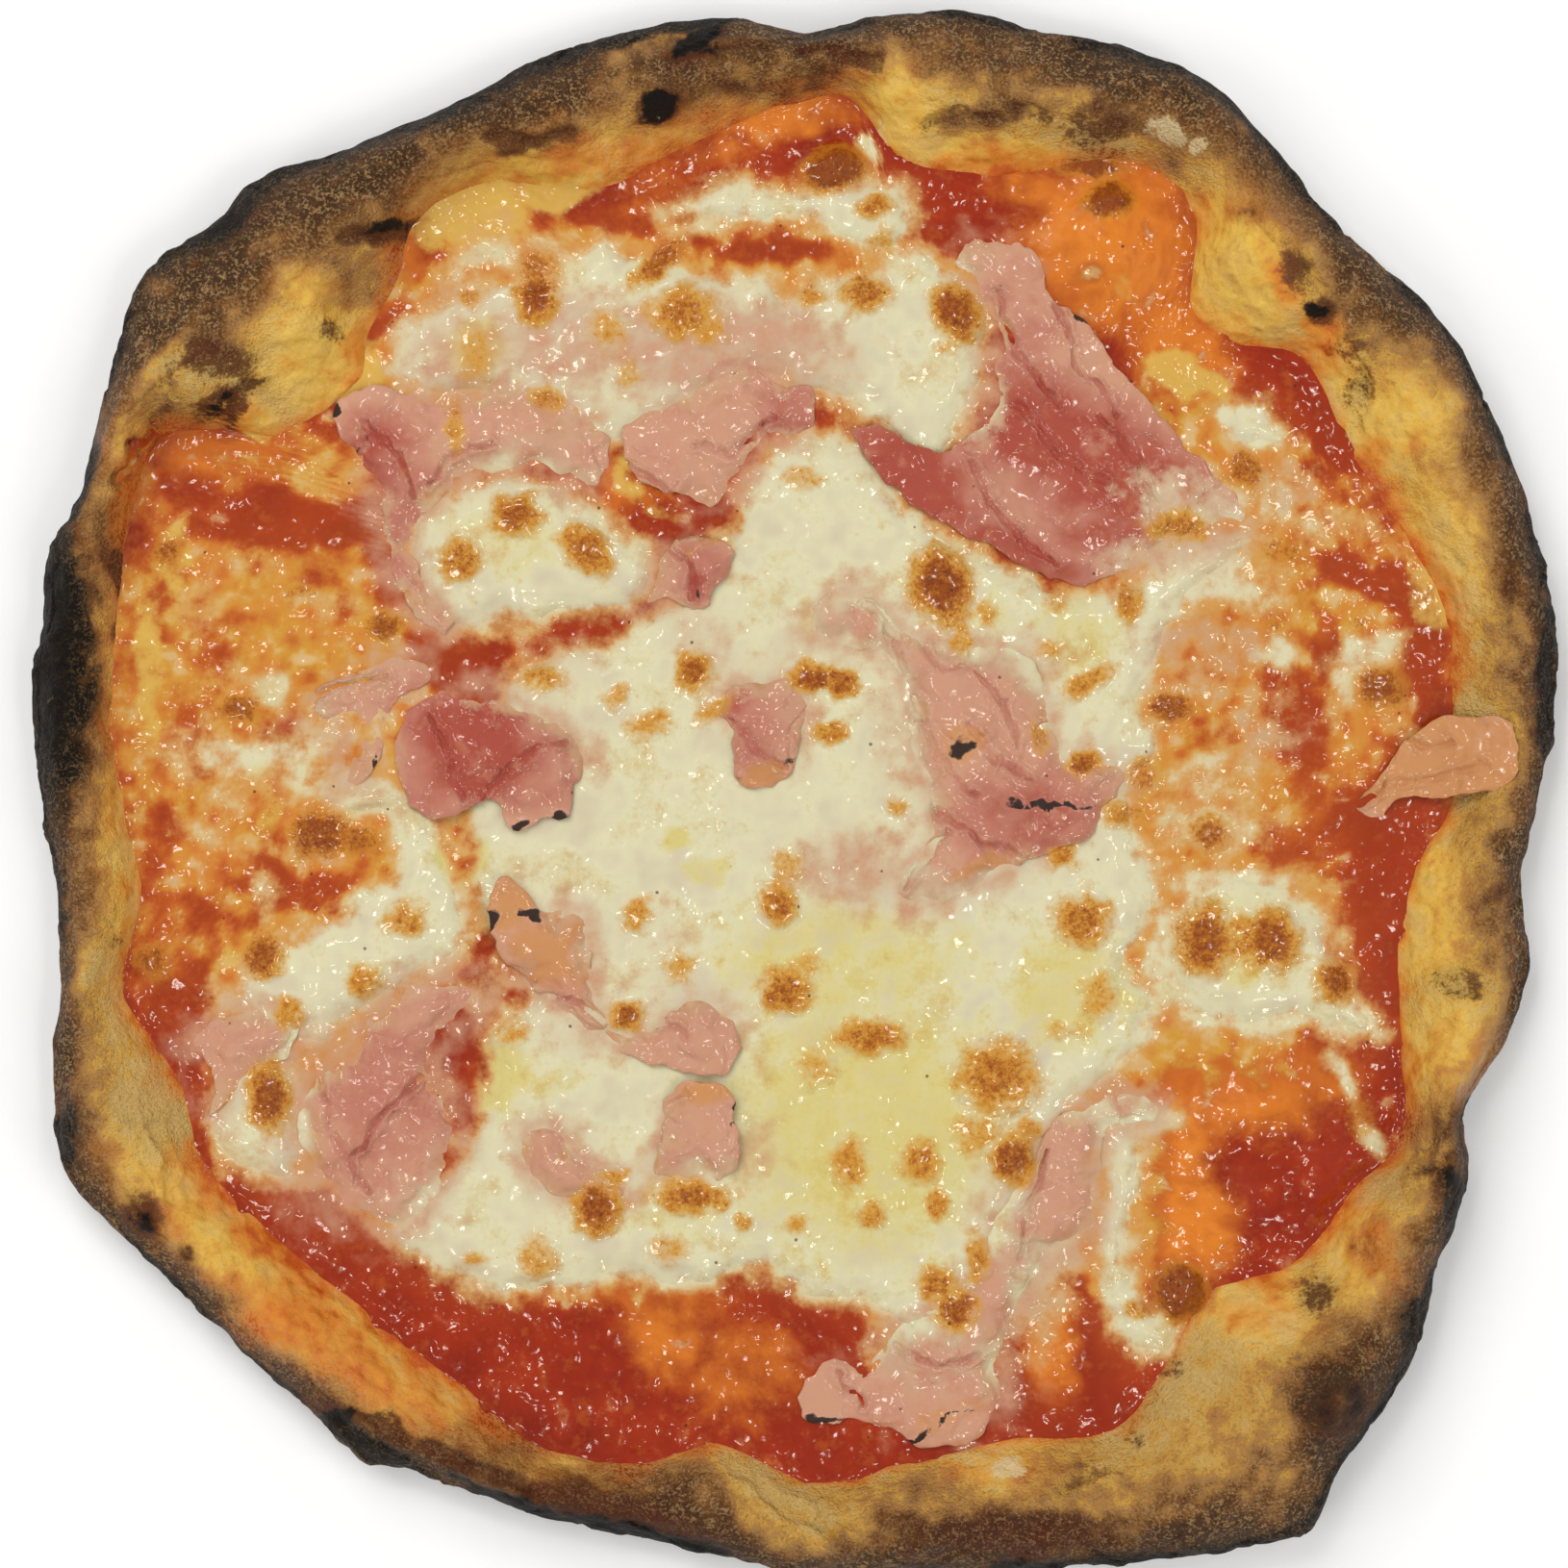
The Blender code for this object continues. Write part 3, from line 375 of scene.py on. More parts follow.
def makeObject(name, bm):
    mesh = bpy.data.meshes.new(name)
    bm.to_mesh(mesh)
    bm.free()
    mesh.polygons.foreach_set("use_smooth", np.ones(len(mesh.polygons), bool))
    piece = bpy.data.objects.new(name, mesh)
    scene.collection.objects.link(piece)
    return piece


def readPlaces(mesh):
    flat = np.empty(len(mesh.vertices) * 3)
    mesh.vertices.foreach_get("co", flat)
    return flat.reshape(-1, 3)


def readNormals(mesh):
    flat = np.empty(len(mesh.vertices) * 3)
    mesh.vertices.foreach_get("normal", flat)
    return flat.reshape(-1, 3)


def writePlaces(mesh, places):
    mesh.vertices.foreach_set("co", np.asarray(places, float).ravel())
    mesh.update()


def toPlan(places):
    return places / milli + np.array([shiftX, shiftY, 0.0])


def fromPlan(places):
    # metres, kept inside the box of the solids
    out = (places - np.array([shiftX, shiftY, 0.0])) * milli
    return np.clip(out, np.array(solidBox[0]), np.array(solidBox[1]))


def paint(mesh, name, values, low=0.0):
    # one value for each vertex, which the finishes read by that name
    if name not in mesh.attributes:
        mesh.attributes.new(name, "FLOAT", "POINT")
    mesh.attributes[name].data.foreach_set("value", np.clip(np.asarray(values, float), low, 1.0))


def paintNoise(mesh, x, y, z=None):
    # two sizes of unevenness that the finishes share
    broad = lumps(x, y, 11.0, 201.0, z) + 0.5 * lumps(x, y, 5.5, 207.0, z)
    middle = lumps(x, y, 4.0, 213.0, z) + 0.55 * lumps(x, y, 2.0, 219.0, z)
    paint(mesh, "broad", 0.42 * broad, -1.0)
    paint(mesh, "middle", 0.42 * middle, -1.0)


def spinChain(chain, turns):
    # spins a row of points round the upright axis
    bm = bmesh.new()
    verts = [bm.verts.new(place) for place in chain]
    edges = [bm.edges.new(pair) for pair in zip(verts, verts[1:])]
    bmesh.ops.spin(bm, geom=verts + edges, cent=(0, 0, 0), axis=(0, 0, 1), angle=math.tau,
                   steps=turns, use_merge=True, use_duplicate=False)
    poles = [v for v in bm.verts if v.co.x ** 2 + v.co.y ** 2 < 0.25]
    bmesh.ops.remove_doubles(bm, verts=poles, dist=0.01)
    return bm


def settle(piece, places, finish, nodes):
    # puts the vertices in place and ties the piece to what it stands for
    writePlaces(piece.data, fromPlan(places))
    piece.data.materials.append(finish)
    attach(piece, "root")
    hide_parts(*nodes)


class Amount:
    # a value socket that understands + - * /
    def __init__(self, tree, socket):
        self.tree = tree
        self.socket = socket

    def maths(self, operation, *others):
        step = self.tree.nodes.new("ShaderNodeMath")
        step.operation = operation
        for place, other in enumerate((self,) + others):
            if isinstance(other, Amount):
                self.tree.links.new(other.socket, step.inputs[place])
            else:
                step.inputs[place].default_value = other
        return Amount(self.tree, step.outputs[0])

    def __add__(self, other):
        return self.maths("ADD", other)

    def __mul__(self, other):
        return self.maths("MULTIPLY", other)

    def __sub__(self, other):
        return self.maths("SUBTRACT", other)

    def __rsub__(self, other):
        return (self * -1.0).maths("ADD", other)

    __radd__ = __add__
    __rmul__ = __mul__

    def step(self, low, high):
        ramp = self.tree.nodes.new("ShaderNodeMapRange")
        ramp.interpolation_type = "SMOOTHSTEP"
        self.tree.links.new(self.socket, ramp.inputs["Value"])
        ramp.inputs["From Min"].default_value = low
        ramp.inputs["From Max"].default_value = high
        return Amount(self.tree, ramp.outputs["Result"])

    def limit(self):
        return self.maths("MAXIMUM", 0.0).maths("MINIMUM", 1.0)


class Finish:
    # a material and the few ways of adding to it
    def __init__(self, name):
        self.material = bpy.data.materials.new(name)
        self.material.use_nodes = True
        self.tree = self.material.node_tree
        self.shader = self.tree.nodes["Principled BSDF"]
        self.where = self.add("ShaderNodeTexCoord").outputs["Object"]

    def add(self, kind, settings=None, values=None):
        part = self.tree.nodes.new(kind)
        for key, value in (settings or {}).items():
            setattr(part, key, value)
        for key, value in (values or {}).items():
            self.put(part.inputs[key], value)
        return part

    def put(self, socket, value):
        if isinstance(value, Amount):
            self.tree.links.new(value.socket, socket)
        elif isinstance(value, bpy.types.NodeSocket):
            self.tree.links.new(value, socket)
        else:
            socket.default_value = value

    def painted(self, *names):
        # the values that paint() left on the mesh
        parts = [self.add("ShaderNodeAttribute", {"attribute_name": name}) for name in names]
        return [Amount(self.tree, part.outputs["Fac"]) for part in parts]

    def grain(self, size, detail, rough):
        # noise with lumps of that size in millimetres, about -0.5 to 0.5
        part = self.add("ShaderNodeTexNoise", None, {
            "Vector": self.where, "Scale": 1000.0 / size, "Detail": detail, "Roughness": rough})
        return Amount(self.tree, part.outputs["Fac"]) - 0.5

    def cells(self, size):
        part = self.add("ShaderNodeTexVoronoi", None, {"Vector": self.where, "Scale": 1000.0 / size})
        return Amount(self.tree, part.outputs["Distance"])

    def mix(self, share, first, second):
        part = self.add("ShaderNodeMix", {"data_type": "RGBA", "clamp_factor": True})
        self.put(part.inputs[0], share)
        self.put(part.inputs[6], first)
        self.put(part.inputs[7], second)
        return part.outputs[2]

    def bump(self, height, distance, strength):
        values = {"Height": height, "Distance": distance * milli, "Strength": strength}
        return self.add("ShaderNodeBump", None, values).outputs["Normal"]

    def set(self, **values):
        for key, value in values.items():
            self.put(self.shader.inputs[key.replace("_", " ")], value)
        return self.material


def rgb(red, green, blue):
    # a colour as a screen shows it, 0 to 255
    return tuple(((c / 255 + 0.055) / 1.055) ** 2.4 if c > 10 else c / 255 / 12.92
                 for c in (red, green, blue)) + (1.0,)


toppingLook = {
    "deepSauce": rgb(138, 30, 6), "sauce": rgb(172, 52, 10), "oilySauce": rgb(225, 130, 38),
    "film": rgb(208, 126, 50), "thinFilm": rgb(188, 88, 28), "strand": rgb(220, 190, 142),
    "yellowFilm": rgb(207, 152, 54), "cheese": rgb(220, 214, 176), "veil": rgb(204, 189, 163),
    "warmCheese": rgb(210, 190, 136), "halo": rgb(208, 154, 58), "brown": rgb(192, 118, 32),
    "dark": rgb(142, 68, 18), "burnt": rgb(78, 38, 14), "oil": rgb(212, 193, 96),
    "pink": rgb(196, 146, 116), "dough": rgb(216, 176, 82), "edge": rgb(210, 162, 96),
    "hamPale": rgb(204, 150, 122), "hamPink": rgb(188, 120, 100), "hamRed": rgb(169, 77, 61),
    "hamFat": rgb(214, 168, 138), "hamWarm": rgb(202, 140, 84), "char": rgb(46, 26, 18),
    "roughness": 0.12, "specular": 0.8,
    # relief in millimetres, its strength, and the size of the wet ripples
    "relief": 1.5, "strength": 0.85, "ripple": 3.2,
}


def makeTopping(name, look):
    f = Finish(name)
    cheese, film, brown, bare, oil, orange, dough = f.painted(
        "cheese", "film", "brown", "bare", "oil", "orange", "dough")
    ham, red, char, toast, broad, middle = f.painted("ham", "red", "char", "toast", "broad", "middle")
    small = f.grain(1.15, 3, 0.65)
    fine = f.grain(0.5, 2, 0.7)
    ripple = f.grain(look["ripple"], 1, 0.45)
    # sauce, and the thin cheese that is molten into it
    sauce = f.mix((broad * 1.2 + middle * 1.0 + 0.4).limit(), look["deepSauce"], look["sauce"])
    oily = (orange + middle * 0.5 + small * 0.3 + broad * 0.5).step(0.15, 1.05)
    sauce = f.mix(oily, sauce, look["oilySauce"])
    sauce = f.mix(film.limit() * 0.55, sauce, look["thinFilm"])
    share = film + broad * 0.8 + middle * 0.85 + small * 0.3 - bare * 0.75
    thin = f.mix(share.step(0.05, 0.5), sauce, look["thinFilm"])
    tone = f.mix((middle * 1.5 - broad * 1.4 + small * 0.5 + orange * 0.4 + 0.45).limit(),
                 look["film"], look["yellowFilm"])
    thin = f.mix(share.step(0.25, 0.7), thin, tone)
    holes = (small * 0.7 - middle * 1.1 - film * 0.05).step(0.04, 0.42)
    thin = f.mix(holes * 0.5, thin, look["thinFilm"])
    strands = (share * 0.6 + middle * 2.0 + small * 0.3).step(0.5, 1.15)
    thin = f.mix(strands * 0.65, thin, look["strand"])
    thin = f.mix((dough + middle * 0.5 + small * 0.3).step(0.35, 0.75) * 0.85, thin, look["dough"])
    # cheese
    warm = (broad * 1.1 + small * 0.8 + middle * 0.5 + 0.2).step(0.2, 0.75)
    white = f.mix(warm, look["cheese"], look["warmCheese"])
    white = f.mix((broad * -0.9 + middle * -0.7 + 0.12).step(0.05, 0.55) * 0.7, white, look["veil"])
    white = f.mix((oil + middle * 0.5 + small * 0.3).step(0.25, 0.85) * 0.7, white, look["oil"])
    rise = cheese + middle * 0.6 + small * 0.4 + broad * 0.3
    colour = f.mix(rise.step(0.12, 0.56) * 0.85, thin, look["edge"])
    cover = rise.step(0.4, 0.76)
    colour = f.mix(cover, colour, white)
    # ham, first showing through the cheese and then clear of it
    under = ham + middle * 0.6 + broad * 0.35 + small * 0.2
    colour = f.mix(under.step(0.1, 0.62) * 0.78, colour, look["pink"])
    # red also carries painted shade along the folds' creases
    level = red + broad * 0.7 + middle * 0.4 + small * 0.2
    meat = f.mix(level.step(0.0, 0.5), look["hamPale"], look["hamPink"])
    meat = f.mix(level.step(0.42, 0.9), meat, look["hamRed"])
    meat = f.mix((toast + middle * 0.5 + small * 0.5).step(0.35, 0.8) * 0.85, meat, look["hamWarm"])
    meat = f.mix((broad * 0.8 + middle * 0.8 - small * 0.6).step(0.1, 0.5) * 0.4, meat, look["hamFat"])
    colour = f.mix((under + small * 0.3).step(0.5, 0.85), colour, meat)
    # browned blisters and burns
    baked = brown + small * 0.55 + middle * 0.4
    colour = f.mix(baked.step(0.05, 0.58) * (cover * 0.7 + 0.25), colour, look["halo"])
    browner = (baked + small * 0.4 + fine * 0.6 - cover * 0.08).step(0.26, 0.76)
    colour = f.mix(browner * 0.9, colour, look["brown"])
    darkest = (brown + small * 1.0 + fine * 0.6 - cover * 0.05).step(0.5, 1.0)
    colour = f.mix(darkest, colour, look["dark"])
    colour = f.mix((brown + small * 1.3 + fine * 1.5).step(1.08, 1.5), colour, look["burnt"])
    colour = f.mix((char + small * 0.6).step(0.42, 0.62), colour, look["char"])
    pepper = 1 - f.cells(9.0).step(0.03, 0.045)
    colour = f.mix(pepper * 0.75, colour, look["burnt"])
    # wet ripples, stronger in some places than in others
    filmy = share.step(0.0, 0.6)
    uneven = (broad * 1.6 + middle * 0.5 + 0.5).limit() * 0.7 + 0.3
    height = ripple * uneven * (0.85 - cover * 0.35 + filmy * 0.1) + small * 0.015
    normal = f.bump(height, look["relief"], look["strength"])
    shine = (look["roughness"] + small * 0.12 + char * 0.5).limit()
    return f.set(Base_Color=colour, Roughness=shine, Normal=normal, Specular_IOR_Level=look["specular"])


crustLook = {
    "pale": rgb(214, 176, 104), "gold": rgb(214, 163, 74), "tan": rgb(184, 132, 68),
    "brown": rgb(126, 80, 38), "dark": rgb(70, 45, 25), "black": rgb(20, 14, 9),
    "flour": rgb(222, 198, 148), "sand": rgb(184, 146, 96), "stain": rgb(214, 118, 34),
    "sauce": rgb(196, 84, 28), "scorch": rgb(86, 40, 20), "dough": rgb(234, 190, 72),
    "glow": rgb(212, 134, 48), "underside": rgb(204, 166, 110),
    "roughness": 0.75, "specular": 0.45,
    "relief": 1.5, "strength": 0.9, "ripple": 3.6,
}


def makeCrust(look):
    f = Finish("baked_dough")
    toast, black, gold, under = f.painted("toast", "black", "gold", "under")
    stain, scorch, floury, broad, middle = f.painted("stain", "scorch", "floury", "broad", "middle")
    small = f.grain(1.5, 3, 0.65)
    fine = f.grain(0.6, 2, 0.7)
    ripple = f.grain(look["ripple"], 1, 0.45)
    # from pale to dark as it is toasted
    level = toast + broad * 0.5 + middle * 0.55 + small * 0.7 + fine * 0.5
    colour = look["pale"]
    for low, high, name in ((0.08, 0.3, "gold"), (0.28, 0.46, "tan"), (0.5, 0.68, "brown"),
                            (0.7, 0.9, "dark")):
        colour = f.mix(level.step(low, high), colour, look[name])
    # oily dough beside the sauce, and sauce that has run on to it
    glaze = (gold + middle * 0.5 + broad * 0.4 + small * 0.25).step(0.0, 1.05)
    glow = (middle * 1.2 + broad * 1.1 + small * 0.7 + toast * 0.9).step(0.05, 0.85)
    wet = f.mix(glow, look["dough"], look["glow"])
    wet = f.mix((small * 1.1 - middle * 0.9 - broad * 0.5).step(0.08, 0.4) * 0.5, wet, look["tan"])
    colour = f.mix(glaze * 0.7, colour, wet)
    sticky = stain + middle * 0.5 + broad * 0.4 + small * 0.3
    colour = f.mix(sticky.step(0.1, 0.95) * 0.85, colour, look["stain"])
    colour = f.mix((sticky + middle * 0.4 + small * 0.3).step(0.75, 1.1) * 0.9, colour, look["sauce"])
    # sandy grains, light and dark
    dry = (level + scorch * 0.15).step(0.3, 0.6) * (1 - glaze * 0.7)
    grains = (small * -0.9 - fine * 1.4).step(0.02, 0.24)
    colour = f.mix(grains * (dry * 0.7 + 0.1), colour, look["dark"])
    seared = (scorch + middle * 0.8 + small * 1.2 + fine * 0.8).step(0.36, 0.9)
    colour = f.mix(seared * 0.9, colour, look["scorch"])
    charcoal = (black + middle * 0.5 + small * 0.7 + fine * 0.3).step(0.42, 0.7)
    colour = f.mix(charcoal, colour, look["black"])
    sand = (fine * 1.5 + small * 0.9).step(-0.04, 0.26)
    colour = f.mix(sand * dry * (1 - black * 0.95 - scorch * 0.55).limit() * 0.75, colour, look["sand"])
    colour = f.mix((floury + small * 1.2 + middle * 0.9).step(0.45, 0.75) * 0.85, colour, look["flour"])
    # the underside, floury with leopard spots
    beneath = f.mix((middle * 1.3 + small * 0.7 + 0.3).step(0.2, 0.6), look["flour"], look["underside"])
    leopard = (middle * 0.9 + broad * 0.8 + small * 0.4).step(0.24, 0.42)
    beneath = f.mix(leopard * 0.85, beneath, look["brown"])
    beneath = f.mix((middle * 0.9 + broad * 0.8 + small * 0.5).step(0.42, 0.62), beneath, look["dark"])
    colour = f.mix(under.step(0.4, 0.6), colour, beneath)
    glossy = (gold * 1.5 + stain * 0.8 - scorch - 0.2).limit()
    height = (small * 1.2 + fine * 0.7 + middle * 0.5) * (1 - glossy * 0.85) + ripple * glossy * 1.1
    normal = f.bump(height, look["relief"], look["strength"])
    shine = (look["roughness"] - glossy * 0.62 + small * 0.1).limit()
    return f.set(Base_Color=colour, Roughness=shine, Normal=normal, Specular_IOR_Level=look["specular"])


sauceFinish = makeTopping("tomato_sauce", toppingLook)
cheeseFinish = makeTopping("molten_cheese", toppingLook)
hamFinish = makeTopping("baked_ham", toppingLook)
crustFinish = makeCrust(crustLook)
print("materials ready")

# the crust: how finely it is made, and its section
crustPlan = {
    "turns": 940, "doughHeight": 4.6, "baseInset": 7.0,
    # share of the way over the rim, share of the crest's height
    "rim": ((0.0, 0.03), (0.1, 0.24), (0.22, 0.50), (0.36, 0.78), (0.52, 0.96), (0.68, 0.97),
            (0.83, 0.80), (0.95, 0.54), (1.0, 0.33), (0.985, 0.13)),
    "wellRings": 6, "rimRings": 78, "baseRings": 10,
}
# darkest crust: x, y, half length, half width, turn, strength
toasted = (
    (-124, 96, 10, 12, 0, .8), (-145, 20, 9, 34, 0, .95), (-143, -70, 6, 15, -20, .85),
    (-130, -88, 7, 5, 40, .6), (-118, -102, 7, 3, 45, .6), (-106, -112, 8, 3, 40, .6),
    (-80, -130, 22, 5, -24, 1.0), (-40, -146, 34, 6, -15, .85), (-66, -137, 8, 3, -20, .8),
    (62, -151, 44, 5, -4, .8), (106, -122, 10, 12, 0, .95), (40, -146, 18, 5, 6, 1.0),
    (28, 143, 20, 5, -4, .7), (-34, -143, 26, 6, -15, .9), (88, -132, 6, 8, 20, .5),
    (120, -106, 5, 10, -20, .7), (131, -82, 3, 12, 0, .8), (127, -98, 4, 5, 0, .8),
    (149, 20, 5, 28, 0, .9), (142, -34, 4, 16, 0, .6), (40, 133, 16, 2.5, 8, .55),
    (8, 122.5, 6, 4.5, 0, .95), (76, -99, 6, 5.5, 0, 1.0), (52, 147, 12, 3, -12, .7),
    (20, 150, 14, 3, 0, .6), (100, -146, 9, 6, 20, .85), (-8, -150, 12, 3, 0, .6),
    (-134, 40, 3, 8, 0, .5),
)
# red-brown scorches with a hard edge
scorched = (
    (-113, 84, 8, 4.5, -10, 1), (-113, 76, 8, 2, 25, 1), (-131, 37, 1.4, 5, 0, 1),
    (-134, 15, 1.3, 6, 5, .9), (-136, 47, 1.5, 5, 0, .7), (-53, 126, 5.5, 2, 8, .95),
    (60, 130, 8, 5, 0, .85), (60, 123.5, 8, 1.8, 0, .7), (62, 115, 4, 4, 0, .75),
    (98, 101, 3, 5, 30, .85), (103, 94, 3.4, 2.8, -30, 1), (109, 86, 3.5, 4, 0, .62),
    (111, 78, 3, 4, 0, .62), (140, 40, 2.5, 6, 0, .75), (138, -21, 3.5, 4, 0, .85),
    (131, -37, 6, 2.5, 0, .6), (128, -65, 3, 4, -30, .65), (126, -77, 4, 3, 0, .7),
    (-80, 109, 7, 2.4, 8, 1), (-26, 134, 5.5, 3.2, 20, 1), (-19, 145, 6, 4, 30, 1),
    (5, 140, 9, 2.2, 28, .75), (-12, 137, 6, 1.5, 0, .6), (103, -100, 3.8, 4, 0, .75),
    (112, -90, 3.2, 3.2, 0, .5), (76, -115, 1.6, 2.4, 0, .6), (74, -122, 1.6, 1.6, 0, .6),
    (68, -129, 1.4, 2, -20, .6), (60, -134, 6, 2.4, 0, .5), (-119, -91, 2.2, 2.4, 0, .8),
    (-128, -84, 4, 5, 40, 1), (-92, -121, 6, 2.6, -20, .9), (-78, -127, 3, 1.5, 0, .7),
    (-134, -30, 2, 2, 0, .5), (8, 122.5, 4.5, 3.4, 0, .8), (76, -99, 4.6, 4.2, 0, .9),
    (-91, 90, 3, 2.2, 0, .62), (-105, -46, 2, 1, 0, .4), (88, 112, 4, 2, 40, .5),
    (-66, -131, 6, 2, -20, .9), (-105, 112, 10, 3, 30, .5), (26, -144, 3, 4, 0, .5),
    (-36, -142, 26, 5, -14, .85), (42, -146, 26, 6, 0, .85), (106, -121, 9, 8, 0, .7),
)
charred = (
    (-19, 146, 5, 3.4, 20, .9), (-26, 134, 4.4, 2.4, 25, .95), (-80, 110, 5, 2, 15, .8),
    (-114, 75, 7, 1.6, 25, .6), (-146, 26, 8, 32, 0, 1.0), (106, -120, 8, 7, 0, .55),
    (122, -104, 4, 6, 0, .8), (129, -80, 4, 8, 0, .8), (-146, -73, 5, 13, -16, .9),
    (-84, -129, 13, 3, -24, .9), (-58, -139, 10, 3, -22, .8), (-128, -85, 3, 4, 0, .6),
    (-90, -124, 6, 2.6, 25, .8), (-65, -135, 5, 2, -20, .7), (120, -106, 3, 6, 0, .7),
    (131, -83, 2.4, 7, 0, .9), (126, -97, 3, 3, 0, .8), (148, 20, 3.4, 22, 0, .85),
    (102, 94, 2.4, 2, 0, .7), (-56, 143, 8, 2, 25, .5), (98, -147, 7, 3, 20, .8),
    (-30, -148, 26, 3, -14, .8), (8, 122.5, 2, 1.5, 0, .5), (142, 76, 3, 10, 25, .6),
)
# oily, glossy dough
golden = (
    (85, 100, 12, 13, 0, 1), (118, 72, 9, 8, 0, .8), (124, -22, 6, 16, 0, .8), (20, 132, 7, 9, 0, .8),
    (-55, 118, 14, 8, 10, .8), (-92, 84, 10, 9, 0, .9), (-98, -100, 36, 6, -38, .8),
    (-95, 98, 5, 4, 0, .9), (128, 52, 6, 16, 20, .6), (-132, -10, 4, 34, 0, .5),
    (90, -100, 12, 8, 0, .6), (-106, 70, 3, 5, 0, 1), (38, 124, 16, 4, -8, .9),
    (128, -50, 8, 10, 0, .7), (112, -92, 8, 8, 0, .7), (-30, 130, 10, 4, 15, .5),
    (106, 84, 3, 12, 25, .8), (-128, 60, 6, 12, 15, .6), (44, -134, 10, 5, 0, .5),
    (-50, -134, 12, 3, -10, .5),
)
paleDough = (
    (-95, 84, 11, 12, 0, .5), (85, 100, 10, 12, 0, .5), (118, 74, 10, 9, 0, .5),
    (84, -120, 11, 16, 0, .38), (-122, 84, 2.2, 7, -35, .9), (-130, 71, 2.2, 7, -25, .9),
    (-137, 55, 2.2, 9, -12, .9), (-137, 28, 2.6, 16, 0, .8), (-136, -14, 5, 26, 0, .6),
    (-130, -66, 7, 9, 30, .7), (-5, -142, 14, 5, -20, .38), (-55, 119, 13, 7, 8, .7),
    (20, 135, 6, 8, 0, .7), (-80, -127, 7, 3, -20, .8), (38, 138, 16, 3, -8, .15),
    (88, 118, 9, 6, -50, .3), (138, 5, 6, 10, 0, .5), (132, -45, 7, 12, 0, .4),
    (70, -134, 12, 6, 0, .3), (62, -138, 16, 4, 0, .3), (132, -62, 6, 8, 0, .5),
    (-32, 148, 12, 4, 15, .8), (-45, -134, 14, 3, -12, .5),
)
orangeDough = (
    (-101, -104, 7, 5, 0, .9), (-92, -108, 18, 5, -38, .75), (92, -103, 8, 3, 0, .5),
    (112, -90, 4, 4, 0, .45), (104, 88, 3, 6, 30, .7), (-76, 105, 5, 5, 0, .8), (-83, 85, 4, 8, 0, .6),
    (-118, 66, 11, 5, 10, .9), (-42, 124, 8, 3, 10, .6), (-20, 130, 9, 3, 15, .7),
    (22, 128, 4, 3, 0, .3), (96, 98, 3, 5, 30, .6), (-112, 72, 6, 4, 20, .7),
    (-60, -124, 10, 3, -22, .4), (34, -134, 8, 3, 0, .4), (124, -12, 3, 5, 0, .3),
    (-130, 52, 3, 8, 0, .5), (134, 24, 3, 6, 0, .3), (114, 66, 4, 4, 0, .5), (-122, -84, 5, 4, 0, .5),
    (6, 139, 8, 2, 12, .7),
)
# torn places of the skin: path, half width, depth, how dark the painted shade in the crack is
cracks = (
    (((-14, -131), (-6, -138), (2, -143), (6, -146)), 2.0, 0.9, .0),
    (((97, -112), (104, -110), (112, -113)), 1.6, 1.0, .5),
    (((112, -108), (118, -112), (121, -118)), 1.6, 0.9, .6),
    (((122, -75), (126, -73), (130, -71)), 1.6, 1.1, .6),
    (((126, -84), (123, -90), (125, -96)), 1.8, 1.0, .8),
    (((-126, -66), (-124, -72), (-122, -80)), 1.4, 0.7, .0),
    (((-90, -121), (-80, -125), (-72, -130), (-60, -133), (-50, -138)), 2.0, 1.0, .9),
    (((-118, -97), (-111, -104), (-104, -112)), 1.6, 0.9, .7),
    (((-25, 144), (-10, 146), (5, 145), (16, 142)), 1.6, 0.8, .8),
    (((26, 130), (36, 133), (50, 132)), 1.5, 0.8, .7),
    (((-118, 88), (-122, 80), (-127, 70), (-133, 60)), 1.6, 0.8, .5),
    (((-112, 72), (-106, 79)), 1.6, 0.8, .8), (((-134, 46), (-132, 36), (-134, 28)), 1.4, 0.8, .9),
    (((-134, 18), (-133, 10), (-132, 5)), 1.3, 0.8, .9), (((72, -118), (75, -112)), 1.2, 0.7, .4),
    (((66, -128), (70, -123), (72, -119)), 1.2, 0.7, .35), (((5, -142), (7, -146)), 1.5, 1.0, .3),
    (((23, -144), (24, -148)), 1.4, 1.0, .6), (((90, 112), (98, 106), (104, 97)), 1.4, 0.7, .4),
    (((108, 88), (112, 80), (112, 72)), 1.3, 0.6, .4),
    (((134, -16), (138, -24), (136, -34)), 1.6, 0.8, .4), (((126, -38), (132, -40)), 1.5, 0.8, .6),
    (((-60, 128), (-50, 127), (-43, 129)), 1.5, 0.8, .8),
    (((-90, 108), (-80, 109), (-72, 111)), 1.6, 0.9, .8), (((60, -134), (52, -137)), 1.4, 0.7, .6),
    (((141, 48), (142, 40), (140, 33)), 1.4, 0.7, .5),
)
# lumps of flour: x, y, half length, half width, turn, strength
flourLumps = (
    (74, 129, 4, 2.4, -20, 1), (79, 125, 2, 2, 0, .8), (42, -134, 3, 2.6, 0, 1),
    (15, 128, 2.6, 3.4, 0, .7), (-118, 88, 1, 4, -40, .5), (110, -126, 2, 1.4, 0, .5),
    (108, 92, 2.4, 3, 0, .4),
)
